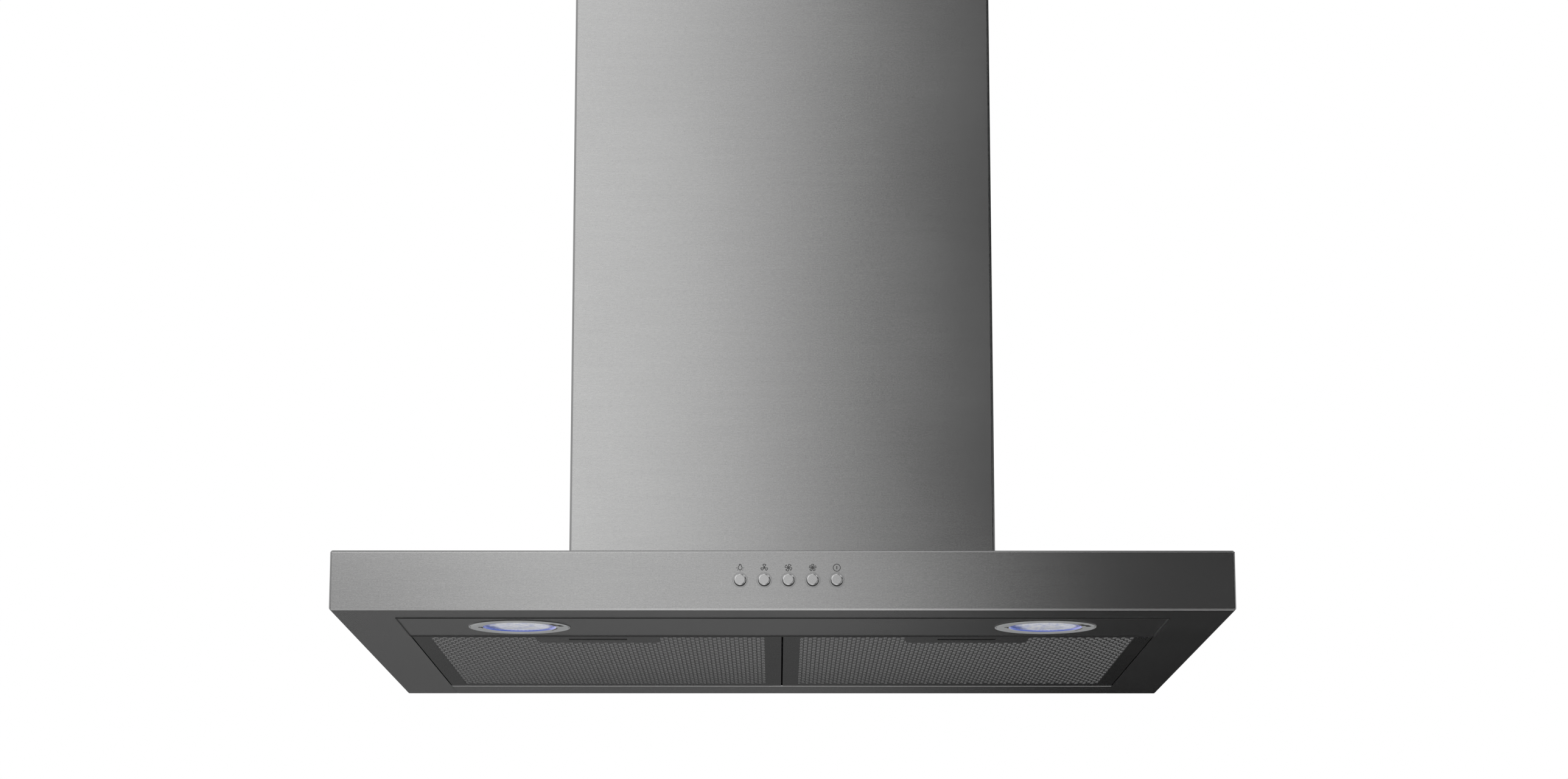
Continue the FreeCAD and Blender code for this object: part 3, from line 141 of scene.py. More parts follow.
def mixColour(factor, first, second):
    wire = next(one for one in (factor, first, second) if isinstance(one, Wire))
    first = first if isinstance(first, Wire) else full(first)
    second = second if isinstance(second, Wire) else full(second)
    return wire.add("Mix", {"data_type": "RGBA"}, {0: factor, 6: first, 7: second}, 2)


def noise(start, vector, scale=1.0, detail=2.0, rough=0.5):
    return start.add("TexNoise", None,
                     {"Vector": vector, "Scale": scale, "Detail": detail, "Roughness": rough})


def stretched(start, vector, scales):
    return start.add("Mapping", None, {"Vector": vector, "Scale": scales})


def bumped(start, height, strength, deep):
    return start.add("Bump", None, {"Strength": strength, "Distance": deep, "Height": height})


# modelling helps
def clearPick():
    if bpy.context.object and bpy.context.object.mode != "OBJECT":
        bpy.ops.object.mode_set(mode="OBJECT")
    bpy.ops.object.select_all(action="DESELECT")


def settle():
    bpy.ops.object.transform_apply(location=True, rotation=True, scale=True)


def pick(kind, test):
    # selects what passes a test on its middle and normal
    mesh = bmesh.from_edit_mesh(bpy.context.object.data)
    bpy.ops.mesh.select_mode(type=kind)
    bpy.ops.mesh.select_all(action="DESELECT")
    chosen = 0
    group = {"VERT": mesh.verts, "EDGE": mesh.edges, "FACE": mesh.faces}[kind]
    for one in group:
        if kind == "VERT":
            passed = test(one.co, one.normal)
        elif kind == "EDGE":
            passed = test((one.verts[0].co + one.verts[1].co) / 2, one)
        else:
            passed = test(one.calc_center_median(), one.normal)
        if passed:
            one.select_set(True)
            chosen += 1
    mesh.select_flush_mode()
    bmesh.update_edit_mesh(bpy.context.object.data)
    return chosen


def applyModifier(kind, **settings):
    piece = bpy.context.object
    modifier = piece.modifiers.new("shape", kind)
    for name, value in settings.items():
        setattr(modifier, name, value)
    bpy.ops.object.modifier_apply(modifier=modifier.name)


def finishPiece(name, material, body="hood", hides=()):
    if bpy.context.object.mode != "OBJECT":
        bpy.ops.object.mode_set(mode="OBJECT")
    piece = bpy.context.object
    piece.name = name
    piece.data.name = name
    piece.data.materials.clear()
    piece.data.materials.append(material)
    settle()
    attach(piece, body)
    if hides:
        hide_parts(*hides)
    return piece


def copyMoved(piece, shift, turn=(0.0, 0.0, 0.0)):
    # a copy with its own mesh, turned, moved and settled there
    clearPick()
    piece.select_set(True)
    bpy.context.view_layer.objects.active = piece
    bpy.ops.object.duplicate(linked=False)
    bpy.context.object.rotation_euler = turn
    bpy.ops.transform.translate(value=shift)
    settle()
    return bpy.context.object


def ringStep(centre, radius, nextRadius, rise):
    bpy.ops.mesh.extrude_region_move(TRANSFORM_OT_translate={"value": (0.0, 0.0, rise)})
    scale = nextRadius / radius
    bpy.ops.transform.resize(value=(scale, scale, 1.0), center_override=centre)


def turnSteps(steps, count, middle=(0.0, 0.0, 0.0), fill="NOTHING"):
    # a turned shape drawn ring by ring, by radius and height in millimetres
    clearPick()
    radius, height = steps[0]
    bpy.ops.mesh.primitive_circle_add(vertices=count, radius=radius * mm, fill_type=fill, location=middle)
    bpy.ops.object.mode_set(mode="EDIT")
    bpy.ops.mesh.select_mode(type="VERT")
    bpy.ops.mesh.select_all(action="SELECT")
    bpy.ops.transform.translate(value=(0.0, 0.0, height * mm))
    for nextRadius, nextHeight in steps[1:]:
        ringStep(middle, radius, nextRadius, (nextHeight - height) * mm)
        radius, height = nextRadius, nextHeight


def closeRings():
    # joins the first ring to the last and turns every face outwards
    pick("EDGE", lambda spot, one: one.is_boundary)
    bpy.ops.mesh.bridge_edge_loops()
    turnOutwards()


def turnOutwards():
    bpy.ops.mesh.select_all(action="SELECT")
    bpy.ops.mesh.normals_make_consistent(inside=False)


def joinAll(pieces):
    clearPick()
    for one in pieces:
        one.select_set(True)
    bpy.context.view_layer.objects.active = pieces[0]
    if len(pieces) > 1:
        bpy.ops.object.join()


# the photograph's place and lens
view = {"lens": 79.293, "place": (-0.00371, -2.76558, -0.30493), "tilt": 101.3208, "turn": -0.1153}
bpy.ops.object.select_all(action="DESELECT")
bpy.ops.object.camera_add(location=view["place"],
                          rotation=(math.radians(view["tilt"]), 0.0, math.radians(view["turn"])))
scene.camera = bpy.context.object
scene.camera.data.lens = view["lens"]
print("camera set")

# the room: white all round, a pale floor, soft lamps and cards that only gloss sees
room = {
    "ambient": 0.62,
    "floorHeight": -0.90,
    "floorSize": 30.0,
    "floorColour": (0.80, 0.80, 0.80),
    "shadowNear": 1.6,
    "shadowFar": 4.5,
}


def lightRays(start):
    seen = start.add("LightPath", None, None, ("Is Camera Ray", "Is Glossy Ray", "Is Transmission Ray"))
    return (seen[0] + seen[1] + seen[2]).clip()


def makeWorld():
    world = bpy.data.worlds.new("studio")
    world.use_nodes = True
    world.node_tree.nodes.clear()
    start = Wire(world.node_tree)
    strength = room["ambient"] + lightRays(start) * (1.0 - room["ambient"])
    light = start.add("Background", None, {"Color": full(grey(1.0)), "Strength": strength})
    start.add("OutputWorld", None, {"Surface": light}, ())
    scene.world = world


def makeFloor():
    bpy.ops.object.select_all(action="DESELECT")
    bpy.ops.mesh.primitive_plane_add(size=room["floorSize"], location=(0.0, 0.0, room["floorHeight"]))
    floor = bpy.context.object
    floor.name = "floor"
    material, start = newFinish("pale floor")
    x, y, z = start.add("SeparateXYZ", None, {0: start.add("TexCoord", None, None, "Object")}, (0, 1, 2))
    far = ((x * x + y * y) ** 0.5).fade(room["shadowNear"], room["shadowFar"])
    matt = start.add("BsdfDiffuse", None, {"Color": full(room["floorColour"])})
    white = start.add("Emission", None, {"Color": full(grey(1.0)), "Strength": 1.0})
    lit = start.add("MixShader", None, {0: far * lightRays(start), 1: matt, 2: white})
    under = start.add("NewGeometry", None, None, "Backfacing")     # nothing is hidden from below
    clear = start.add("BsdfTransparent")
    both = start.add("MixShader", None, {0: under, 1: lit, 2: clear})
    start.add("OutputMaterial", None, {"Surface": both}, ())
    floor.data.materials.append(material)


def makeLamp(name, look):
    bpy.ops.object.select_all(action="DESELECT")
    bpy.ops.object.light_add(type="AREA", location=look["place"])
    lamp = bpy.context.object
    lamp.name = name
    lamp.data.size = look["size"]
    lamp.data.energy = look["power"]
    towards = scene.camera.location.copy()
    towards.xyz = [there - here for there, here in zip(look["aim"], look["place"])]
    lamp.rotation_euler = towards.to_track_quat("-Z", "Y").to_euler()
    lamp.visible_glossy = False
    lamp.visible_camera = False


def makeCard(name, look):
    # a card that only shows in polished metal; its shade runs along its own X
    bpy.ops.object.select_all(action="DESELECT")
    bpy.ops.mesh.primitive_plane_add(size=1.0, location=look["place"], rotation=look["turn"])
    card = bpy.context.object
    card.name = name
    card.scale = (*look["size"], 1.0)
    if "near" in look:         # narrower at its near edge
        bpy.ops.object.mode_set(mode="EDIT")
        pick("VERT", lambda spot, up: spot.y < 0.0)
        bpy.ops.transform.resize(value=(look["near"], 1.0, 1.0), center_override=look["place"])
        bpy.ops.object.mode_set(mode="OBJECT")
    material, start = newFinish(name)
    x = start.add("SeparateXYZ", None, {0: start.add("TexCoord", None, None, "Object")}, (0,))[0]
    shade = start.add("ValToRGB", {"stops": look["stops"]}, {0: x + 0.5})
    glow = start.add("Emission", None, {"Color": shade, "Strength": 1.0})
    start.add("OutputMaterial", None, {"Surface": glow}, ())
    card.data.materials.append(material)
    card.visible_camera = False
    card.visible_diffuse = False
    card.visible_transmission = False
    card.visible_shadow = False


quarter = math.pi / 2
makeWorld()
makeFloor()
studioLamps = {
    "key lamp": {"place": (-1.8, -2.6, 2.6), "aim": (0.0, -0.2, 0.2), "size": 2.4, "power": 45.0},
    "fill lamp": {"place": (2.4, -2.0, 0.6), "aim": (0.0, -0.2, 0.2), "size": 2.0, "power": 14.0},
    "rear lamp": {"place": (-1.4, 2.6, 2.0), "aim": (0.0, 0.0, 0.3), "size": 1.8, "power": 22.0},
}
for label, look in studioLamps.items():
    makeLamp(label, look)

underStops = [(0.5, grey(0.10)), (0.72, grey(0.015))]
cards = {                # soft lights that fall off to the right, and a dark side at the right
    "front card": {      # shows in the chimney
        "place": (0.0, -4.5, 0.625), "turn": (quarter, 0.0, 0.0), "size": (6.0, 4.25),
        "stops": [(0.36, grey(0.8)), (0.42, grey(1.1)), (0.47, grey(0.9)), (0.54, grey(0.0))],
    },
    "near card": {       # shows in the canopy's front
        "place": (0.0, -1.0, -0.11), "turn": (quarter, 0.0, 0.0), "size": (2.4, 0.50),
        "stops": [(0.35, grey(0.43)), (0.43, grey(0.67)), (0.48, grey(0.6)), (0.62, grey(0.045))],
    },
    "low card": {        # this and the next show in the underside
        "place": (0.0, 1.325, -0.45), "turn": (0.0, 0.0, 0.0), "size": (2.4, 2.35), "near": 0.42,
        "stops": underStops,
    },
    "back card": {
        "place": (0.0, 2.5, -0.05), "turn": (quarter, 0.0, 0.0), "size": (2.4, 0.80),
        "stops": underStops,
    },
    "ceiling card": {    # shows in the fold along the canopy's top
        "place": (0.0, -0.25, 2.5), "turn": (0.0, 0.0, 0.0), "size": (3.2, 8.5),
        "stops": [(0.3, grey(0.5)), (0.44, grey(0.9)), (0.54, grey(0.8)), (0.66, grey(0.2))],
    },
    "floor card": {      # shows in the fold along the front's lower edge
        "place": (0.0, -0.90, -0.60), "turn": (0.0, 0.0, 0.0), "size": (1.6, 1.4),
        "stops": [(0.3, grey(0.5)), (0.44, grey(0.85)), (0.54, grey(0.75)), (0.68, grey(0.2))],
    },
    "right card": {      # shows in the chimney's right fold
        "place": (3.4, -1.5, 1.6), "turn": (quarter, 0.0, quarter), "size": (6.0, 2.0),
        "stops": [(0.0, grey(0.03)), (1.0, grey(0.03))],
    },
}
for label, look in cards.items():
    makeCard(label, look)
print("stage set")


# finishes
def objectPlace(start):
    return start.add("TexCoord", None, None, "Object")


def placeParts(start):
    return start.add("SeparateXYZ", None, {0: objectPlace(start)}, (0, 1, 2))


folds = {     # how far a face leans where the painted fold shade begins and where it ends
    "lying": ((0.46, 0.56), (0.985, 0.999)),
    "upright": ((0.12, 0.30), (0.97, 0.995)),
}


def foldBand(lean, name):
    begins, ends = folds[name]
    return lean.fade(*begins) * (1.0 - lean.fade(*ends))


def brushPattern(start, look):
    # lines run level round the upright faces and from side to side on the flat ones
    x, y, z = placeParts(start)
    normal = start.add("TexCoord", None, None, "Normal")
    side, tilt = start.add("SeparateXYZ", None, {0: normal}, (0, 2))
    flat = abs(tilt) > 0.7
    along = x + y * (1.0 - flat)
    across = z * (1.0 - flat) + y * flat
    layers = []
    for runs, lines in look["brush"]:
        where = start.add("CombineXYZ", None, {0: along * runs, 1: across * lines, 2: flat})
        layers.append(noise(start, where, 1.0, 2.0, 0.55))
    # a darker band along the folds and bends: painted shade
    fold = foldBand(tilt, "lying") + foldBand(abs(side), "upright")
    return layers, flat, fold.clip()


def brushedMetal(name, look):
    material, start = newFinish(name)
    (fine, middle, wide), flat, fold = brushPattern(start, look)
    calm = 1.0 - flat * 0.35                 # the flat faces are rubbed less
    handled = noise(start, objectPlace(start), 9.0, 3.0).fade(0.35, 0.75)     # faint wiped patches
    tone = 0.5 + (fine * 0.62 + middle * 0.28 + wide * 0.10 - 0.5) * calm * look["contrast"]
    bright = mixColour(tone.clip(), look["dark"], look["light"])
    closeFinish(start, {
        "Base Color": mixColour(fold, bright, look["fold"]),      # painted shade: darker along the folds and bends
        "Metallic": 1.0,
        "Roughness": look["rough"] + (fine - 0.5) * look["roughSwing"] + handled * 0.015,
        "Normal": bumped(start, (fine * 0.7 + middle * 0.3) * calm, look["bump"], look["deep"]),
    })
    return material


hoodSteelLook = {
    "dark": (0.515, 0.515, 0.515), "light": (0.685, 0.685, 0.68), "rough": 0.21, "roughSwing": 0.05,
    "brush": ((900.0, 2300.0), (260.0, 1050.0), (20.0, 220.0)), "contrast": 2.7,
    # the fold colour is painted shade along the bends
    "bump": 0.04, "deep": 0.0001, "fold": grey(0.27),
}
handleSteelLook = {**hoodSteelLook, "dark": grey(0.27), "light": grey(0.36), "rough": 0.25}
filterFrameLook = {**hoodSteelLook, "dark": grey(0.16), "light": grey(0.22), "rough": 0.27}
gridLook = {**hoodSteelLook, "dark": grey(0.38), "light": grey(0.47), "rough": 0.26}
springLook = {**hoodSteelLook, "dark": (0.38, 0.38, 0.39), "light": (0.52, 0.52, 0.53)}
# the sleeves' slightly darker tone is partly their own plating and partly painted shade round the buttons
sleeveLook = {**hoodSteelLook, "dark": grey(0.50), "light": grey(0.60), "rough": 0.22}


def galvanised(name, look):
    # crystals of zinc, each with its own tone and gloss
    material, start = newFinish(name)
    bent = noise(start, objectPlace(start), 60.0, 2.0)
    shift = start.add("CombineXYZ", None, {0: bent * 0.006, 1: bent * 0.004})
    where = start.add("VectorMath", {"operation": "ADD"}, {0: objectPlace(start), 1: shift})
    colour = start.add("TexVoronoi", None, {"Vector": where, "Scale": look["crystals"]}, 1)
    own = start.add("SeparateColor", None, {0: colour}, (0,))[0]
    streak = noise(start, stretched(start, objectPlace(start), (240.0, 240.0, 30.0)), 1.0, 2.0)
    closeFinish(start, {
        "Base Color": mixColour(own * 0.75 + streak * 0.25, look["dark"], look["light"]),
        "Metallic": 1.0,
        "Roughness": look["rough"] + own * look["roughSwing"],
        "Normal": bumped(start, own * 0.6 + streak * 0.4, 0.10, 0.0002),
    })
    return material


galvanisedLook = {
    "crystals": 95.0, "dark": (0.40, 0.42, 0.44), "light": (0.66, 0.68, 0.70),
    "rough": 0.32, "roughSwing": 0.16,
}


def moulded(name, look):
    # fine spark texture and faint flow marks
    material, start = newFinish(name)
    grain = noise(start, objectPlace(start), look["grain"], 3.0, 0.6)
    flow = noise(start, stretched(start, objectPlace(start), (18.0, 45.0, 18.0)), 1.0, 3.0)
    closeFinish(start, {
        "Base Color": mixColour((flow * 0.6 + grain * 0.4).fade(0.3, 0.7), look["dark"], look["light"]),
        "Roughness": look["rough"] + (grain - 0.5) * 0.2,
        "Normal": bumped(start, grain, look["bump"], 0.0002),
        "Specular IOR Level": 0.45,
    })
    return material


plasticLooks = {
    "latch_plastic": {"dark": grey(0.020), "light": grey(0.034),
                      "rough": 0.45, "grain": 2600.0, "bump": 0.25},
    "switch_plastic": {"dark": (0.62, 0.61, 0.58), "light": (0.74, 0.73, 0.70),
                       "rough": 0.42, "grain": 2200.0, "bump": 0.18},
    "fan_plastic": {"dark": (0.016, 0.017, 0.019), "light": (0.032, 0.034, 0.038),
                    "rough": 0.40, "grain": 1800.0, "bump": 0.20},
    "collar_plastic": {"dark": (0.020, 0.020, 0.021), "light": (0.040, 0.040, 0.042),
                       "rough": 0.48, "grain": 1500.0, "bump": 0.30},
    "flap_plastic": {"dark": (0.028, 0.029, 0.031), "light": (0.052, 0.053, 0.056),
                     "rough": 0.42, "grain": 1500.0, "bump": 0.25},
    "terminal_plastic": {"dark": (0.055, 0.056, 0.058), "light": (0.085, 0.086, 0.089),
                         "rough": 0.50, "grain": 1600.0, "bump": 0.30},
    "gland_plastic": {"dark": grey(0.018), "light": grey(0.030),
                      "rough": 0.36, "grain": 2400.0, "bump": 0.15},
}


def buttonMetal(name, look):
    # a turned cap, its stem painted near-black where it faces down: painted shade under the cap; the
    # buttons stand in a row, so one pattern repeats along it
    material, start = newFinish(name)
    x, y, z = placeParts(start)
    aside = start.sums("WRAP", x - look["middle"], look["pitch"] / 2, -look["pitch"] / 2)
    level = z - look["level"]
    out = (aside * aside + level * level) ** 0.5
    rings = noise(start, start.add("CombineXYZ", None, {0: out * look["rings"]}), 1.0, 2.0)
    tilt = start.add("SeparateXYZ", None, {0: start.add("TexCoord", None, None, "Normal")}, (2,))[0]
    # painted shade: the stem's downward faces turn dark, matte and not metal
    stemUnderShade = ((y - look["capBack"]) > 0.0) * tilt.fade(0.30, -0.25)
    satin = mixColour(rings, look["dark"], look["light"])
    closeFinish(start, {
        "Base Color": mixColour(stemUnderShade, satin, look["stemShadeColour"]),
        "Metallic": 1.0 - stemUnderShade,
        "Roughness": look["rough"] + (rings - 0.5) * 0.08 + stemUnderShade * 0.25,
        "Normal": bumped(start, rings, 0.04, 0.0001),
    })
    return material


buttonLook = {
    "pitch": 16 * mm, "middle": 3.8 * mm, "level": 20 * mm, "capBack": -503.1 * mm, "rings": 5200.0,
    "dark": grey(0.70), "light": grey(0.80), "stemShadeColour": grey(0.04), "rough": 0.24,
}


def satinRing(name, look):
    # silver lacquer on a moulded ring, with fine metal flake
    material, start = newFinish(name)
    flake = noise(start, objectPlace(start), 2600.0, 2.0)
    cloud = noise(start, objectPlace(start), 45.0, 3.0)
    closeFinish(start, {
        "Base Color": mixColour((flake * 0.5 + cloud * 0.5).fade(0.3, 0.7), look["dark"], look["light"]),
        "Metallic": 0.25,
        "Roughness": look["rough"] + (flake - 0.5) * 0.12,
        "Normal": bumped(start, flake, 0.06, 0.0001),
    })
    return material


ringLook = {"dark": (0.49, 0.50, 0.505), "light": (0.60, 0.61, 0.615), "rough": 0.38}


def lampGlass(name, look):
    # pressed glass: a mottled white middle, a violet band, blue along the rear edge and a deep blue patch
    # towards the left; it glows with its own tint though no lamp is lit in it: painted light
    material, start = newFinish(name)
    x, y, z = placeParts(start)
    aside = start.sums("WRAP", x, 2 * look["lampX"], 0.0) - look["lampX"]
    back = y - look["lampY"]
    out = ((aside * aside + back * back) ** 0.5) / look["edge"]
    cloud = noise(start, stretched(start, objectPlace(start), (260.0, 170.0, 170.0)), 1.0, 3.0, 0.6)
    wavy = out + (cloud - 0.5) * 0.10
    tint = mixColour(cloud.fade(0.35, 0.70), look["milk"], look["shade"])
    tint = mixColour(wavy.fade(0.78, 0.88), tint, look["violet"])
    rear = (back / look["edge"]).fade(0.45, 0.70) * wavy.fade(0.84, 0.92)
    tint = mixColour(rear, tint, look["blue"])
    left = (aside / look["edge"]).fade(-0.25, -0.75)
    patch = left * (back / look["edge"]).fade(-0.35, 0.10) * wavy.fade(0.45, 0.75)
    tint = mixColour(patch * 0.85, tint, look["deep"])
    closeFinish(start, {
        "Base Color": tint,
        "Roughness": 0.10 + cloud * 0.12,
        "Normal": bumped(start, cloud, 0.10, 0.001),
        "Coat Weight": 0.6,
        "Coat Roughness": 0.05,
        # painted light: the glass glows with its own tint
        "Emission Color": tint,
        "Emission Strength": look["glow"],
    })
    return material


glassLook = {
    "lampX": 180 * mm, "lampY": -415 * mm, "edge": 25 * mm, "glow": 0.36,
    "milk": (0.90, 0.91, 0.93), "shade": (0.58, 0.62, 0.82), "violet": (0.30, 0.32, 0.66),
    "blue": (0.14, 0.18, 0.46), "deep": (0.06, 0.11, 0.42),
}


def spunMirror(name):
    # bright spun reflector with pressed facets
    material, start = newFinish(name)
    facets = start.add("TexVoronoi", None, {"Vector": objectPlace(start), "Scale": 260.0}, 0)
    closeFinish(start, {
        "Base Color": mixColour(facets.fade(0.0, 0.7), grey(0.88), grey(0.72)),
        "Metallic": 1.0,
        "Roughness": 0.10 + facets * 0.10,
        "Normal": bumped(start, facets, 0.35, 0.001),
    })
    return material


def bulbGlass(name):
    material, start = newFinish(name)
    haze = noise(start, objectPlace(start), 300.0, 2.0)
    closeFinish(start, {
        "Base Color": mixColour(haze, (0.95, 0.96, 0.97), (0.86, 0.88, 0.90)),
        "Roughness": 0.02 + haze * 0.06,
        "Transmission Weight": 0.9,
        "IOR": 1.47,
    })
    return material


def speckled(name, look):
    # fired clay, powder coat and the like: fine specks over a soft skin
    material, start = newFinish(name)
    specks = noise(start, objectPlace(start), look["specks"], 2.0)
    skin = noise(start, objectPlace(start), look["skin"], 2.0)
    closeFinish(start, {
        "Base Color": mixColour(specks.fade(0.45, 0.75), look["light"], look["dark"]),
        "Metallic": look["metal"],
        "Roughness": look["rough"] + (skin - 0.5) * 0.2,
        "Normal": bumped(start, skin, look["bump"], 0.0004),
    })
    return material


speckledLooks = {
    "ceramic": {"light": (0.82, 0.80, 0.74), "dark": (0.66, 0.63, 0.56), "specks": 1400.0, "skin": 500.0,
                "metal": 0.0, "rough": 0.45, "bump": 0.15},
    "transformer_case": {"light": grey(0.045), "dark": grey(0.025), "specks": 900.0, "skin": 800.0,
                         "metal": 0.0, "rough": 0.50, "bump": 0.30},
    "motor_paint": {"light": (0.090, 0.094, 0.10), "dark": (0.060, 0.063, 0.068), "specks": 700.0,
                    "skin": 650.0, "metal": 0.2, "rough": 0.42, "bump": 0.30},
}


def lined(name, look):
    # fine lines side by side: turned steel, wound wire, a drawn can
    material, start = newFinish(name)
    parts = placeParts(start)
    step = parts[look["axis"]]
    lines = noise(start, start.add("CombineXYZ", None, {0: step * look["lines"]}), 1.0, 2.0)
    spots = noise(start, objectPlace(start), 120.0, 3.0)
    closeFinish(start, {
        "Base Color": mixColour((lines * 0.7 + spots * 0.3).fade(0.3, 0.7), look["dark"], look["light"]),
        "Metallic": 1.0,
        "Roughness": look["rough"] + (lines - 0.5) * 0.15 + (spots - 0.5) * 0.1,
        "Normal": bumped(start, lines, look["bump"], 0.0002),
    })
    return material


linedLooks = {
    "bright_steel": {"axis": 0, "lines": 4200.0, "dark": grey(0.52), "light": grey(0.70),
                     "rough": 0.20, "bump": 0.08},
    "copper_winding": {"axis": 0, "lines": 1500.0, "dark": (0.42, 0.16, 0.07), "light": (0.78, 0.38, 0.19),
                       "rough": 0.32, "bump": 0.60},
    "capacitor_can": {"axis": 2, "lines": 900.0, "dark": grey(0.56), "light": grey(0.68),
                      "rough": 0.28, "bump": 0.06},
    "screw_steel": {"axis": 2, "lines": 2400.0, "dark": (0.44, 0.45, 0.47), "light": (0.68, 0.69, 0.71),
                    "rough": 0.26, "bump": 0.12},
}


def circuitBoard(name):
    material, start = newFinish(name)
    tracks = start.add("TexBrick", {"offset": 0.37, "squash": 1.6},
                       {"Vector": objectPlace(start), "Scale": 90.0,
                        "Color1": full((0.012, 0.10, 0.045)), "Color2": full((0.016, 0.13, 0.06)),
                        "Mortar": full((0.05, 0.24, 0.10)), "Mortar Size": 0.03})
    weave = noise(start, objectPlace(start), 1600.0, 2.0)
    closeFinish(start, {
        "Base Color": mixColour(weave * 0.3, tracks, (0.02, 0.06, 0.03)),
        "Roughness": 0.28 + weave * 0.15,
        "Normal": bumped(start, weave, 0.15, 0.0002),
    })
    return material


def expandedMesh(name):
    # crossed strands of slit foil
    material, start = newFinish(name)
    x, y, z = placeParts(start)
    one = start.sums("SINE", (x + y * 0.6) * 1900.0)
    two = start.sums("SINE", (x - y * 0.6) * 1900.0)
    strands = start.sums("MAXIMUM", one, two)
    dirt = noise(start, objectPlace(start), 40.0, 3.0)
    foil = mixColour(dirt, grey(0.60), grey(0.74))
    closeFinish(start, {
        "Base Color": mixColour(strands.fade(-0.2, 0.7), grey(0.16), foil),
        "Metallic": 1.0,
        "Roughness": 0.30 + dirt * 0.15,
        "Normal": bumped(start, strands, 0.5, 0.0006),
    })
    return material


finishes = {
    "hood_steel": brushedMetal("hood_steel", hoodSteelLook),
    "handle_steel": brushedMetal("handle_steel", handleSteelLook),
    "filter_aluminium": brushedMetal("filter_aluminium", filterFrameLook),
    "spring_steel": brushedMetal("spring_steel", springLook),
    "sleeve_plastic": brushedMetal("sleeve_plastic", sleeveLook),      # satin plated; its slightly darker tone is partly the plating's own and partly painted shade round the buttons
    "galvanised_steel": galvanised("galvanised_steel", galvanisedLook),
    "button_steel": buttonMetal("button_steel", buttonLook),
    "lamp_ring": satinRing("lamp_ring", ringLook),
    "lamp_glass": lampGlass("lamp_glass", glassLook),
    "reflector": spunMirror("reflector"),
    "bulb_glass": bulbGlass("bulb_glass"),
    "circuit_board": circuitBoard("circuit_board"),
    "filter_mesh_aluminium": expandedMesh("filter_mesh_aluminium"),
}
for label, look in plasticLooks.items():
    finishes[label] = moulded(label, look)
for label, look in speckledLooks.items():
    finishes[label] = speckled(label, look)
for label, look in linedLooks.items():
    finishes[label] = lined(label, look)
for row in frame["record"]["subparts"]:
    solid = nodes[row["node"]]
    solid.data.materials.clear()
    solid.data.materials.append(finishes[row["material_slot"]])
print("finishes set:", len(finishes))


# perforated sheets of the filters: slots in staggered rows, each with a lip drawn down
sheet = {
    "pitch": 6.2 * mm, "row": 8.0 * mm, "wide": 2.6 * mm, "long": 5.6 * mm, "sides": 8,
    "lip": 0.40 * mm, "lipOut": 0.55 * mm,
    "left": -258.7 * mm, "right": -1.2 * mm, "front": -363.4 * mm, "rear": -51.2 * mm,
    "low": 0.9 * mm, "thick": 0.5 * mm, "middle": -129.95 * mm,
    "bayHalf": 30.3 * mm, "bayRear": -327.7 * mm, "across": 259.9 * mm,
}


def cutAt(axis, at, keep):
    # cuts the whole mesh by a level plane; keep is the side that stays, 0 for both
    normal = [0.0, 0.0, 0.0]
    point = [0.0, 0.0, 0.0]
    normal[axis], point[axis] = 1.0, at
    bpy.ops.mesh.select_all(action="SELECT")
    bpy.ops.mesh.bisect(plane_co=point, plane_no=normal, clear_inner=keep > 0, clear_outer=keep < 0)


def makeSlotCell(place):
    pitch, row, wide, long = (sheet[size] for size in ("pitch", "row", "wide", "long"))
    lipWide, lipLong = wide + 2 * sheet["lipOut"], long + 2 * sheet["lipOut"]
    bpy.ops.mesh.primitive_circle_add(vertices=sheet["sides"], radius=wide / 2, location=place)
    bpy.ops.object.mode_set(mode="EDIT")
    bpy.ops.mesh.select_all(action="SELECT")
    bpy.ops.transform.resize(value=(1.0, long / wide, 1.0), center_override=place)
    bpy.ops.transform.translate(value=(0.0, 0.0, -sheet["lip"]))
    bpy.ops.mesh.extrude_region_move(TRANSFORM_OT_translate={"value": (0.0, 0.0, sheet["lip"])})
    bpy.ops.transform.resize(value=(lipWide / wide, lipLong / long, 1.0), center_override=place)
    bpy.ops.mesh.extrude_region_move()
    bpy.ops.transform.resize(value=(pitch / lipWide, row / lipLong, 1.0), center_override=place)

    def outer(spot):
        return (2 * spot.x / pitch) ** 2 + (2 * spot.y / row) ** 2 > 0.98

    # the outer ring is squared off to the cell's edges
    for side in (-1, 1):
        pick("VERT", lambda spot, up: outer(spot) and side * spot.y > 0.15 * row)
        edge = (place[0], place[1] + side * row / 2, place[2])
        bpy.ops.transform.resize(value=(1.0, 0.0, 1.0), center_override=edge)
    for side in (-1, 1):
        pick("VERT", lambda spot, up: outer(spot) and side * spot.x > 0.30 * pitch)
        edge = (place[0] + side * pitch / 2, place[1], place[2])
        bpy.ops.transform.resize(value=(0.0, 1.0, 1.0), center_override=edge)
    bpy.ops.object.mode_set(mode="OBJECT")


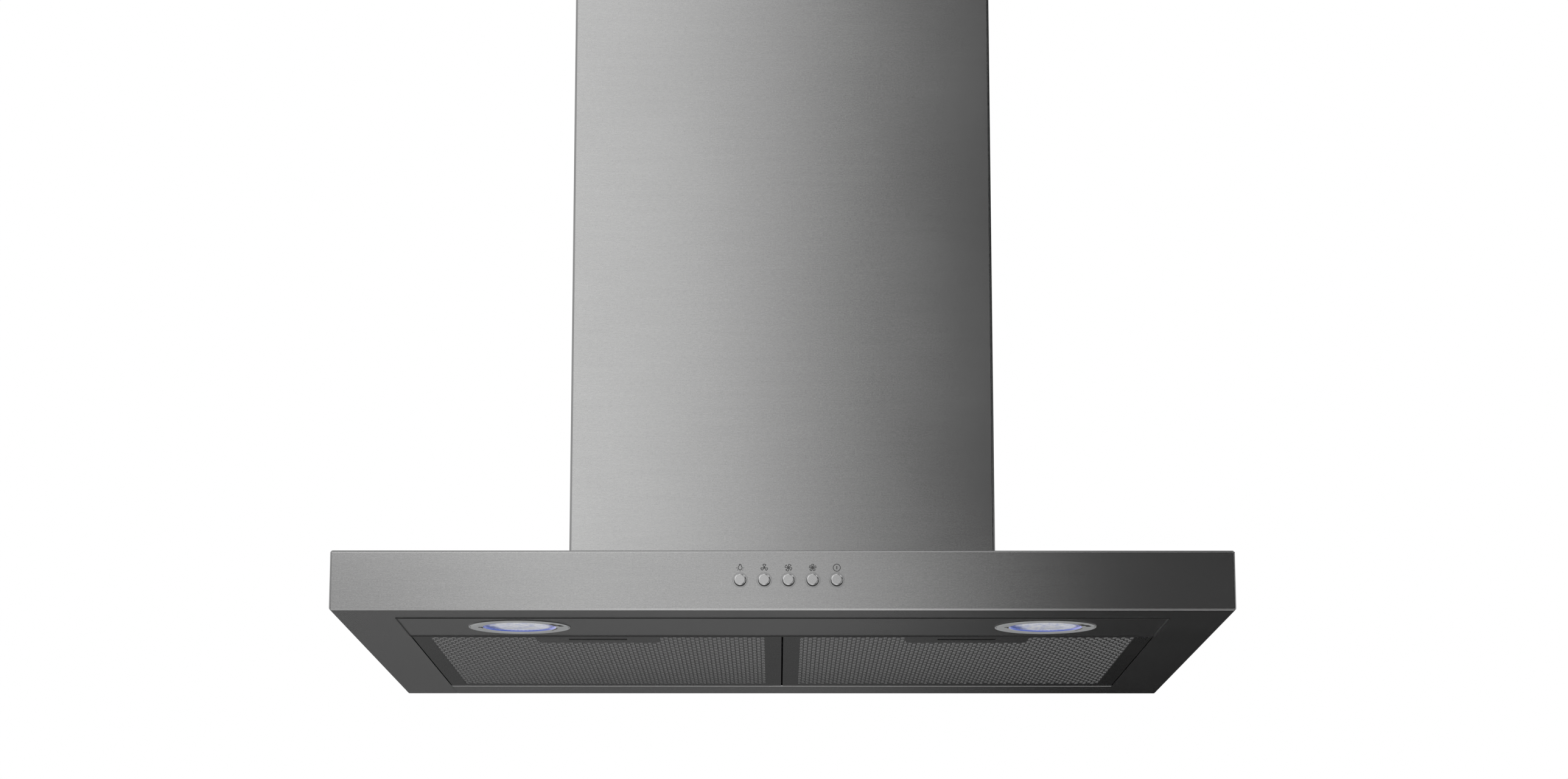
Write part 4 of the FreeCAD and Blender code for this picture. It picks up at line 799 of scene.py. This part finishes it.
def makeSheets():
    clearPick()
    pitch, row = sheet["pitch"], sheet["row"]
    columns = math.ceil((sheet["right"] - sheet["left"]) / pitch) + 2
    pairs = math.ceil((sheet["rear"] - sheet["front"]) / (2 * row)) + 1
    makeSlotCell((sheet["left"] - pitch / 2, sheet["front"], sheet["low"]))
    array = {"use_relative_offset": False, "use_constant_offset": True, "use_merge_vertices": True,
             "merge_threshold": 0.02 * mm}
    applyModifier("ARRAY", count=columns, constant_offset_displace=(pitch, 0.0, 0.0), **array)
    applyModifier("ARRAY", count=2, constant_offset_displace=(pitch / 2, row, 0.0), **array)
    applyModifier("ARRAY", count=pairs, constant_offset_displace=(0.0, 2 * row, 0.0), **array)
    settle()
    bpy.ops.object.mode_set(mode="EDIT")
    cutAt(0, sheet["left"], 1)
    cutAt(0, sheet["right"], -1)
    cutAt(1, sheet["front"], 1)
    cutAt(1, sheet["rear"], -1)
    bay = (sheet["middle"] - sheet["bayHalf"], sheet["middle"] + sheet["bayHalf"])
    cutAt(0, bay[0], 0)
    cutAt(0, bay[1], 0)
    cutAt(1, sheet["bayRear"], 0)
    pick("FACE", lambda spot, up: bay[0] < spot.x < bay[1] and spot.y < sheet["bayRear"])
    bpy.ops.mesh.delete(type="FACE")
    bpy.ops.mesh.select_all(action="SELECT")
    bpy.ops.mesh.remove_doubles(threshold=0.01 * mm)
    bpy.ops.mesh.normals_make_consistent(inside=False)
    if pick("FACE", lambda spot, up: up.z > 0.99):      # the flat of the sheet faces down
        bpy.ops.mesh.select_all(action="SELECT")
        bpy.ops.mesh.flip_normals()
    bpy.ops.object.mode_set(mode="OBJECT")
    applyModifier("SOLIDIFY", thickness=sheet["thick"], offset=-1.0)
    finish = brushedMetal("perforated sheet", gridLook)
    left = finishPiece("perforated_sheet_left", finish, "left_filter", ["filter_grid_left"])
    copyMoved(left, (sheet["across"], 0.0, 0.0))
    finishPiece("perforated_sheet_right", finish, "right_filter", ["filter_grid_right"])
    print("perforated sheets made:", len(left.data.polygons), "faces each")


makeSheets()

# black bead in the seam round the lamp panel: painted shade for the seam's dark line
seamShade = {
    "half": 260.25 * mm, "front": -460.25 * mm, "rear": -364.35 * mm, "wide": 0.8 * mm,
    "high": 0.2 * mm, "low": -0.62 * mm, "round": 0.2 * mm,
}


def makeSeamShade():
    clearPick()
    middle = (seamShade["front"] + seamShade["rear"]) / 2
    bpy.ops.mesh.primitive_plane_add(size=1.0, location=(0.0, middle, seamShade["high"]))
    bpy.context.object.scale = (2 * seamShade["half"], seamShade["rear"] - seamShade["front"], 1.0)
    settle()
    bpy.ops.object.mode_set(mode="EDIT")
    bpy.ops.mesh.select_all(action="SELECT")
    bpy.ops.mesh.inset(thickness=seamShade["wide"])
    bpy.ops.mesh.delete(type="FACE")
    bpy.ops.mesh.select_all(action="SELECT")
    down = (0.0, 0.0, seamShade["low"] - seamShade["high"])
    bpy.ops.mesh.extrude_region_move(TRANSFORM_OT_translate={"value": down})
    turnOutwards()
    edge = seamShade["low"] + 0.001 * mm
    pick("EDGE", lambda spot, one: spot.z < edge and one.calc_face_angle(0.0) > 1.0)
    bpy.ops.mesh.bevel(offset=seamShade["round"], segments=2, affect="EDGES")
    finishPiece("lamp_panel_seam_shade", finishes["gland_plastic"])
    print("seal made")


makeSeamShade()

# lamp glass and ring, by radius and height from the middle of each lamp
lamp = {
    "x": 180 * mm, "y": -415 * mm, "segments": 96,
    "glass": ((28.5, 2.9), (28.5, 0.3), (24.7, 0.3), (23.4, 0.20), (21.4, 0.08), (18.4, -0.07),
              (15.0, -0.20), (11.0, -0.32), (6.5, -0.43), (2.5, -0.49)),
    "flutes": (14.0, 22.0), "fluteDeep": 0.22 * mm,
    "ring": ((24.9, 0.30), (24.9, -0.35), (25.2, -0.62), (26.2, -0.70), (28.2, -0.70), (29.8, -0.70),
             (31.4, -0.70), (33.3, -0.70), (33.45, -0.40), (33.75, -0.40), (33.9, -0.66), (34.6, -0.52),
             (35.0, -0.20), (35.0, 0.0), (30.5, 0.0), (30.5, 0.95), (30.5, 2.45), (30.5, 6.0),
             (28.8, 6.0), (28.8, 0.30)),
    # groove and rim are painted black below the ring: a painted shadow line round it
    "shadedGroove": (33.4, 33.8), "shadedRim": (34.7, 36.0), "innerWall": (24.0, 25.0), "flat": (25.3, 33.2),
    "holeDeep": 0.15 * mm, "shadedWallsBelow": -0.5 * mm,
    # recesses whose floors and walls are painted black: painted shade
    "holes": ((26.2, 29.8, -29.0, 7.5), (28.2, 31.4, -19.0, 7.5),      # a slanted slot, in two steps
              (25.2, 26.2, 180.0, 9.0), (25.2, 28.2, 184.0, 3.5),      # the clip
              (25.2, 26.2, 20.0, 14.0)),                               # the gap beside the glass
    "tabs": (30.5, 32.0, 1.7), "tabHalf": 5.7, "tabNear": 0.1 * mm,
}
lampMiddle = (-lamp["x"], lamp["y"], 0.0)


def turnOf(spot):
    return math.degrees(math.atan2(spot.y, spot.x))


def within(spot, band):
    inner, outer = lamp[band]
    return inner * mm < spot.xy.length < outer * mm


def isWall(up):
    return abs(up.z) < 0.5


def makeGlass():
    turnSteps(lamp["glass"], lamp["segments"], lampMiddle)
    bpy.ops.mesh.edge_face_add()
    pick("EDGE", lambda spot, one: one.is_boundary)
    bpy.ops.mesh.edge_face_add()
    step = 360.0 / lamp["segments"]
    pick("VERT", lambda spot, up: within(spot, "flutes") and round(turnOf(spot) / step) % 2 == 0)
    bpy.ops.transform.translate(value=(0.0, 0.0, lamp["fluteDeep"]))
    turnOutwards()
    left = finishPiece("lamp_glass_left", finishes["lamp_glass"], "hood", ["lamp_lens_left"])
    bpy.ops.object.shade_smooth_by_angle(angle=math.radians(20.0))
    copyMoved(left, (2 * lamp["x"], 0.0, 0.0))
    finishPiece("lamp_glass_right", finishes["lamp_glass"], "hood", ["lamp_lens_right"])


def makeRing():
    turnSteps(lamp["ring"], lamp["segments"], lampMiddle)
    closeRings()

    def inShadedHole(spot):
        for inner, outer, middle, half in lamp["holes"]:
            away = abs((turnOf(spot) - middle + 180.0) % 360.0 - 180.0)
            if inner * mm < spot.xy.length < outer * mm and away < half:
                return True
        return False

    # the recesses, their walls below the flat, the groove and the rim's underside take the black plastic:
    # painted shade and a painted shadow line round the ring
    pick("FACE", lambda spot, up: inShadedHole(spot) and up.z < -0.7)
    bpy.ops.mesh.extrude_region_move(TRANSFORM_OT_translate={"value": (0.0, 0.0, lamp["holeDeep"])})
    piece = bpy.context.object
    for slot in ("lamp_ring", "gland_plastic", "lamp_glass"):
        piece.data.materials.append(finishes[slot])
    piece.active_material_index = 1
    bpy.ops.object.material_slot_assign()
    pick("FACE", lambda spot, up: within(spot, "flat") and isWall(up) and spot.z < lamp["shadedWallsBelow"])
    bpy.ops.object.material_slot_assign()
    pick("FACE", lambda spot, up: spot.z < 0.0 and (within(spot, "shadedGroove") or within(spot, "shadedRim")))
    bpy.ops.object.material_slot_assign()
    piece.active_material_index = 2          # the inner wall takes the glowing glass finish: painted light from the glass
    pick("FACE", lambda spot, up: within(spot, "innerWall") and isWall(up))
    bpy.ops.object.material_slot_assign()
    neck, tabEnd, tabLevel = (size * mm for size in lamp["tabs"])

    def inTab(spot):
        near = lamp["tabNear"]
        away = abs((turnOf(spot) + 60.0) % 120.0 - 60.0)
        return abs(spot.z - tabLevel) < near and spot.xy.length > neck - near and away < lamp["tabHalf"]

    pick("FACE", lambda spot, up: inTab(spot))
    ringStep(lampMiddle, neck, tabEnd, 0.0)
    bpy.ops.object.mode_set(mode="OBJECT")
    settle()
    bpy.ops.object.shade_smooth_by_angle(angle=math.radians(25.0))
    piece.name = piece.data.name = "lamp_ring_left"
    other = copyMoved(piece, (2 * lamp["x"], 0.0, 0.0))
    other.name = other.data.name = "lamp_ring_right"
    for side, one in (("left", piece), ("right", other)):
        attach(one, "hood")
        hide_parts("lamp_bezel_" + side)


makeGlass()
makeRing()
print("lamps made")

# satin sleeves round the buttons, by radius and height out of the front
sleeve = {
    "profile": ((5.1, -5.0), (5.1, -0.04), (5.0, 0.03), (4.05, 0.03), (3.95, -0.07), (3.95, -5.0)),
    "segments": 48, "front": -500.0 * mm, "level": 20.0 * mm, "first": -28.2, "pitch": 16.0, "count": 5,
}


def makeSleeves():
    turnSteps(sleeve["profile"], sleeve["segments"])
    closeRings()
    bpy.ops.object.mode_set(mode="OBJECT")
    bpy.ops.object.shade_smooth_by_angle(angle=math.radians(25.0))
    first = bpy.context.object
    copies = []
    for count in range(sleeve["count"]):
        x = (sleeve["first"] + sleeve["pitch"] * count) * mm
        copies.append(copyMoved(first, (x, sleeve["front"], sleeve["level"]), (quarter, 0.0, 0.0)))
    bpy.data.objects.remove(first)
    joinAll(copies)
    finishPiece("satin_sleeves", finishes["sleeve_plastic"], "hood", ["button_sleeves"])
    print("sleeves made")


makeSleeves()

# marks printed above the buttons, drawn flat in millimetres and then stood on the front
marks = {
    "front": -499.99 * mm, "level": 28.3 * mm, "thick": 0.06, "first": -28.2, "pitch": 16.0,
    "stroke": 0.5, "thin": 0.46, "hub": 0.64, "hubThick": 0.075,
    "blades": {"low": (3, 1.2), "medium": (4, 1.15), "high": (5, 0.9)},
    "turned": {"medium": math.radians(25.0)},
    "rayMiddle": (0.0, -0.12, 0.0),
}
bulb = {
    "sides": 32, "radius": 1.3, "y": -0.1, "neckFrom": 0.5, "neckUp": 0.9, "neckShare": 0.49,
    "endFrom": 1.6, "end": 2.23, "rayWide": 0.60, "rayTall": 0.45, "rayOut": 2.35, "raySquash": 0.88,
}
blade = {
    "sides": 16, "radius": 0.8, "middle": (0.0, 1.5, 0.0), "waist": (1.35, 0.82), "foot": (0.85, 0.25),
    "footDown": -0.30, "topFrom": 1.95, "topFlat": 0.4, "top": 2.28, "taper": (1.7, 0.72),
    "cornerFrom": 0.35, "cornerOut": 0.12,
}


def strokeEdge(stroke):
    # the edge of a flat face is stood up and thickened to a band of one width
    bpy.ops.mesh.select_all(action="SELECT")
    bpy.ops.mesh.delete(type="ONLY_FACE")
    bpy.ops.mesh.select_mode(type="VERT")
    bpy.ops.mesh.select_all(action="SELECT")
    bpy.ops.mesh.extrude_region_move(TRANSFORM_OT_translate={"value": (0.0, 0.0, marks["thick"])})
    turnOutwards()
    bpy.ops.object.mode_set(mode="OBJECT")
    applyModifier("SOLIDIFY", thickness=stroke, offset=0.0, use_even_offset=True)
    return bpy.context.object


def flatCircle(count, radius, x=0.0, y=0.0):
    clearPick()
    bpy.ops.mesh.primitive_circle_add(vertices=count, radius=radius, fill_type="NGON", location=(x, y, 0.0))
    settle()
    bpy.ops.object.mode_set(mode="EDIT")
    bpy.ops.mesh.select_all(action="SELECT")


def flatBar(wide, tall, x=0.0, y=0.0):
    clearPick()
    bpy.ops.mesh.primitive_plane_add(size=1.0, location=(x, y, 0.0))
    bpy.context.object.scale = (wide, tall, 1.0)
    settle()
    bpy.ops.object.mode_set(mode="EDIT")
    bpy.ops.mesh.select_all(action="SELECT")
    bpy.ops.mesh.extrude_region_move(TRANSFORM_OT_translate={"value": (0.0, 0.0, marks["thick"])})
    bpy.ops.mesh.select_all(action="SELECT")


def drawBulb():
    flatCircle(bulb["sides"], bulb["radius"], 0.0, bulb["y"])
    pick("VERT", lambda spot, up: spot.y > bulb["neckFrom"])            # the neck, with a flat end
    bpy.ops.transform.translate(value=(0.0, bulb["neckUp"], 0.0))
    bpy.ops.transform.resize(value=(bulb["neckShare"], 1.0, 1.0), center_override=(0.0, 0.0, 0.0))
    pick("VERT", lambda spot, up: spot.y > bulb["endFrom"])
    bpy.ops.transform.resize(value=(1.0, 0.0, 1.0), center_override=(0.0, bulb["end"], 0.0))
    outline = strokeEdge(marks["stroke"])
    middle = marks["rayMiddle"]
    flatBar(bulb["rayWide"], bulb["rayTall"], bulb["rayOut"], middle[1])
    bpy.ops.mesh.spin(dupli=True, steps=4, angle=math.pi, center=middle, axis=(0.0, 0.0, 1.0))
    bpy.ops.mesh.select_all(action="SELECT")
    bpy.ops.transform.resize(value=(1.0, bulb["raySquash"], 1.0), center_override=middle)
    return [outline, bpy.context.object]


def narrowBelow(level, share):
    pick("VERT", lambda spot, up: spot.y < level)
    bpy.ops.transform.resize(value=(share, 1.0, 1.0), center_override=blade["middle"])


def drawFan(blades, slim):
    # one blade is a paddle that narrows to the hub
    flatCircle(blade["sides"], blade["radius"], 0.0, blade["middle"][1])
    bpy.ops.transform.resize(value=(slim, 1.0, 1.0), center_override=blade["middle"])
    narrowBelow(*blade["waist"])
    narrowBelow(*blade["foot"])
    bpy.ops.transform.translate(value=(0.0, blade["footDown"], 0.0))
    pick("VERT", lambda spot, up: spot.y > blade["topFrom"])
    bpy.ops.transform.resize(value=(1.0, blade["topFlat"], 1.0), center_override=(0.0, blade["top"], 0.0))
    narrowBelow(*blade["taper"])
    pick("VERT", lambda spot, up: spot.y > blade["taper"][0] and spot.x > blade["cornerFrom"])
    bpy.ops.transform.translate(value=(blade["cornerOut"], 0.0, 0.0))       # one corner is drawn out
    strokeEdge(marks["thin"])
    bpy.ops.object.mode_set(mode="EDIT")
    bpy.ops.mesh.select_all(action="SELECT")
    bpy.ops.mesh.spin(dupli=True, steps=blades - 1, angle=2 * math.pi * (blades - 1) / blades,
                      center=(0.0, 0.0, 0.0), axis=(0.0, 0.0, 1.0))
    fan = bpy.context.object
    flatCircle(16, marks["hub"])
    bpy.ops.mesh.extrude_region_move(TRANSFORM_OT_translate={"value": (0.0, 0.0, marks["hubThick"])})
    return [fan, bpy.context.object]


def drawOff():
    flatCircle(48, 2.35)
    ring = strokeEdge(marks["stroke"])
    flatBar(0.65, 2.1)
    return [ring, bpy.context.object]


def standMark(name, drawn, x):
    joinAll(drawn)
    bpy.ops.object.mode_set(mode="EDIT")
    turnOutwards()
    bpy.ops.object.mode_set(mode="OBJECT")
    piece = bpy.context.object
    piece.scale = (mm, mm, mm)
    piece.rotation_euler = (quarter, marks["turned"].get(name, 0.0), 0.0)
    piece.location = (x * mm, marks["front"], marks["level"])
    finishPiece("mark_" + name, printInk)


inkLook = {"dark": grey(0.050), "light": grey(0.085), "rough": 0.55, "grain": 4000.0, "bump": 0.1}
printInk = moulded("print ink", inkLook)
drawings = {"light": drawBulb, "off": drawOff}
for count, label in enumerate(("light", "low", "medium", "high", "off")):
    drawn = drawings[label]() if label in drawings else drawFan(*marks["blades"][label])
    standMark(label, drawn, marks["first"] + marks["pitch"] * count)
print("marks made")

# pan-head screws with a cross recess, by radius and height from under the head
screw = {
    "sides": 24, "head": ((3.4, 0.0), (3.4, 1.1), (3.15, 1.65), (2.6, 2.0), (1.8, 2.2)),
    "shank": 1.9, "root": 1.55, "tip": -6.0, "plain": -0.8, "thread": 0.4,
    "recessWide": 0.8 * mm, "recessArm": 1.3 * mm, "recessTop": 2.4 * mm, "recessDeep": 1.3 * mm,
    "recessEnd": 0.6,
}
screwGroups = {
    "box_screws": ("hood", 40.8, ((-62.5, -256.0), (62.5, -256.0), (-131.0, -187.5), (131.0, -187.5),
                                  (-131.0, -62.5), (131.0, -62.5))),
    "chimney_screws": ("hood", 40.8, ((-77.5, -274.2), (77.5, -274.2), (-149.2, -140.0), (149.2, -140.0))),
    "collar_screws": ("hood", 291.5, ((-56.57, -146.57), (56.57, -146.57),
                                      (-56.57, -33.43), (56.57, -33.43))),
}
bracketScrews = {"x": 153.5, "y": -36.0, "z": 673.0}


def makeRecess():
    # the cutter for the cross: a cube with four arms, narrower at its foot
    clearPick()
    wide = screw["recessWide"]
    bpy.ops.mesh.primitive_cube_add(size=wide)
    bpy.ops.object.mode_set(mode="EDIT")
    for toX, toY in ((1, 0), (-1, 0), (0, 1), (0, -1)):
        pick("FACE", lambda spot, up: up.x * toX + up.y * toY > 0.9 and spot.xy.length < wide)
        arm = (toX * screw["recessArm"], toY * screw["recessArm"], 0.0)
        bpy.ops.mesh.extrude_region_move(TRANSFORM_OT_translate={"value": arm})
    pick("VERT", lambda spot, up: spot.z > 0.0)
    bpy.ops.transform.translate(value=(0.0, 0.0, screw["recessTop"] - wide / 2))
    pick("VERT", lambda spot, up: spot.z < 0.0)
    bpy.ops.transform.translate(value=(0.0, 0.0, screw["recessTop"] - screw["recessDeep"] + wide / 2))
    narrow = screw["recessEnd"]
    bpy.ops.transform.resize(value=(narrow, narrow, 1.0), center_override=(0.0, 0.0, 0.0))
    turnOutwards()
    bpy.ops.object.mode_set(mode="OBJECT")
    return bpy.context.object


def makeScrew():
    cutter = makeRecess()
    turns = int((screw["plain"] - screw["tip"]) / screw["thread"])
    steps = [(screw["root"], screw["tip"])]
    for turn in range(1, turns):
        steps.append((screw["shank"] if turn % 2 else screw["root"], screw["tip"] + turn * screw["thread"]))
    steps += [(screw["shank"], screw["plain"]), (screw["shank"], 0.0), *screw["head"]]
    turnSteps(steps, screw["sides"], fill="NGON")
    turnOutwards()
    bpy.ops.object.mode_set(mode="OBJECT")
    applyModifier("BOOLEAN", object=cutter, operation="DIFFERENCE", solver="EXACT")
    bpy.ops.object.shade_smooth_by_angle(angle=math.radians(25.0))
    made = bpy.context.object
    bpy.data.objects.remove(cutter)
    return made


def joinScrews(name, copies, body):
    joinAll(copies)
    finishPiece("cross_" + name, finishes["screw_steel"], body, [name])


def placeScrews():
    first = makeScrew()
    for name, (body, level, places) in screwGroups.items():
        joinScrews(name, [copyMoved(first, (x * mm, y * mm, level * mm)) for x, y in places], body)
    across, level = bracketScrews["y"] * mm, bracketScrews["z"] * mm
    sides = [copyMoved(first, (side * bracketScrews["x"] * mm, across, level), (0.0, side * quarter, 0.0))
             for side in (-1, 1)]
    joinScrews("bracket_screws", sides, "upper_chimney")
    bpy.data.objects.remove(first)


placeScrews()
print("screws made")
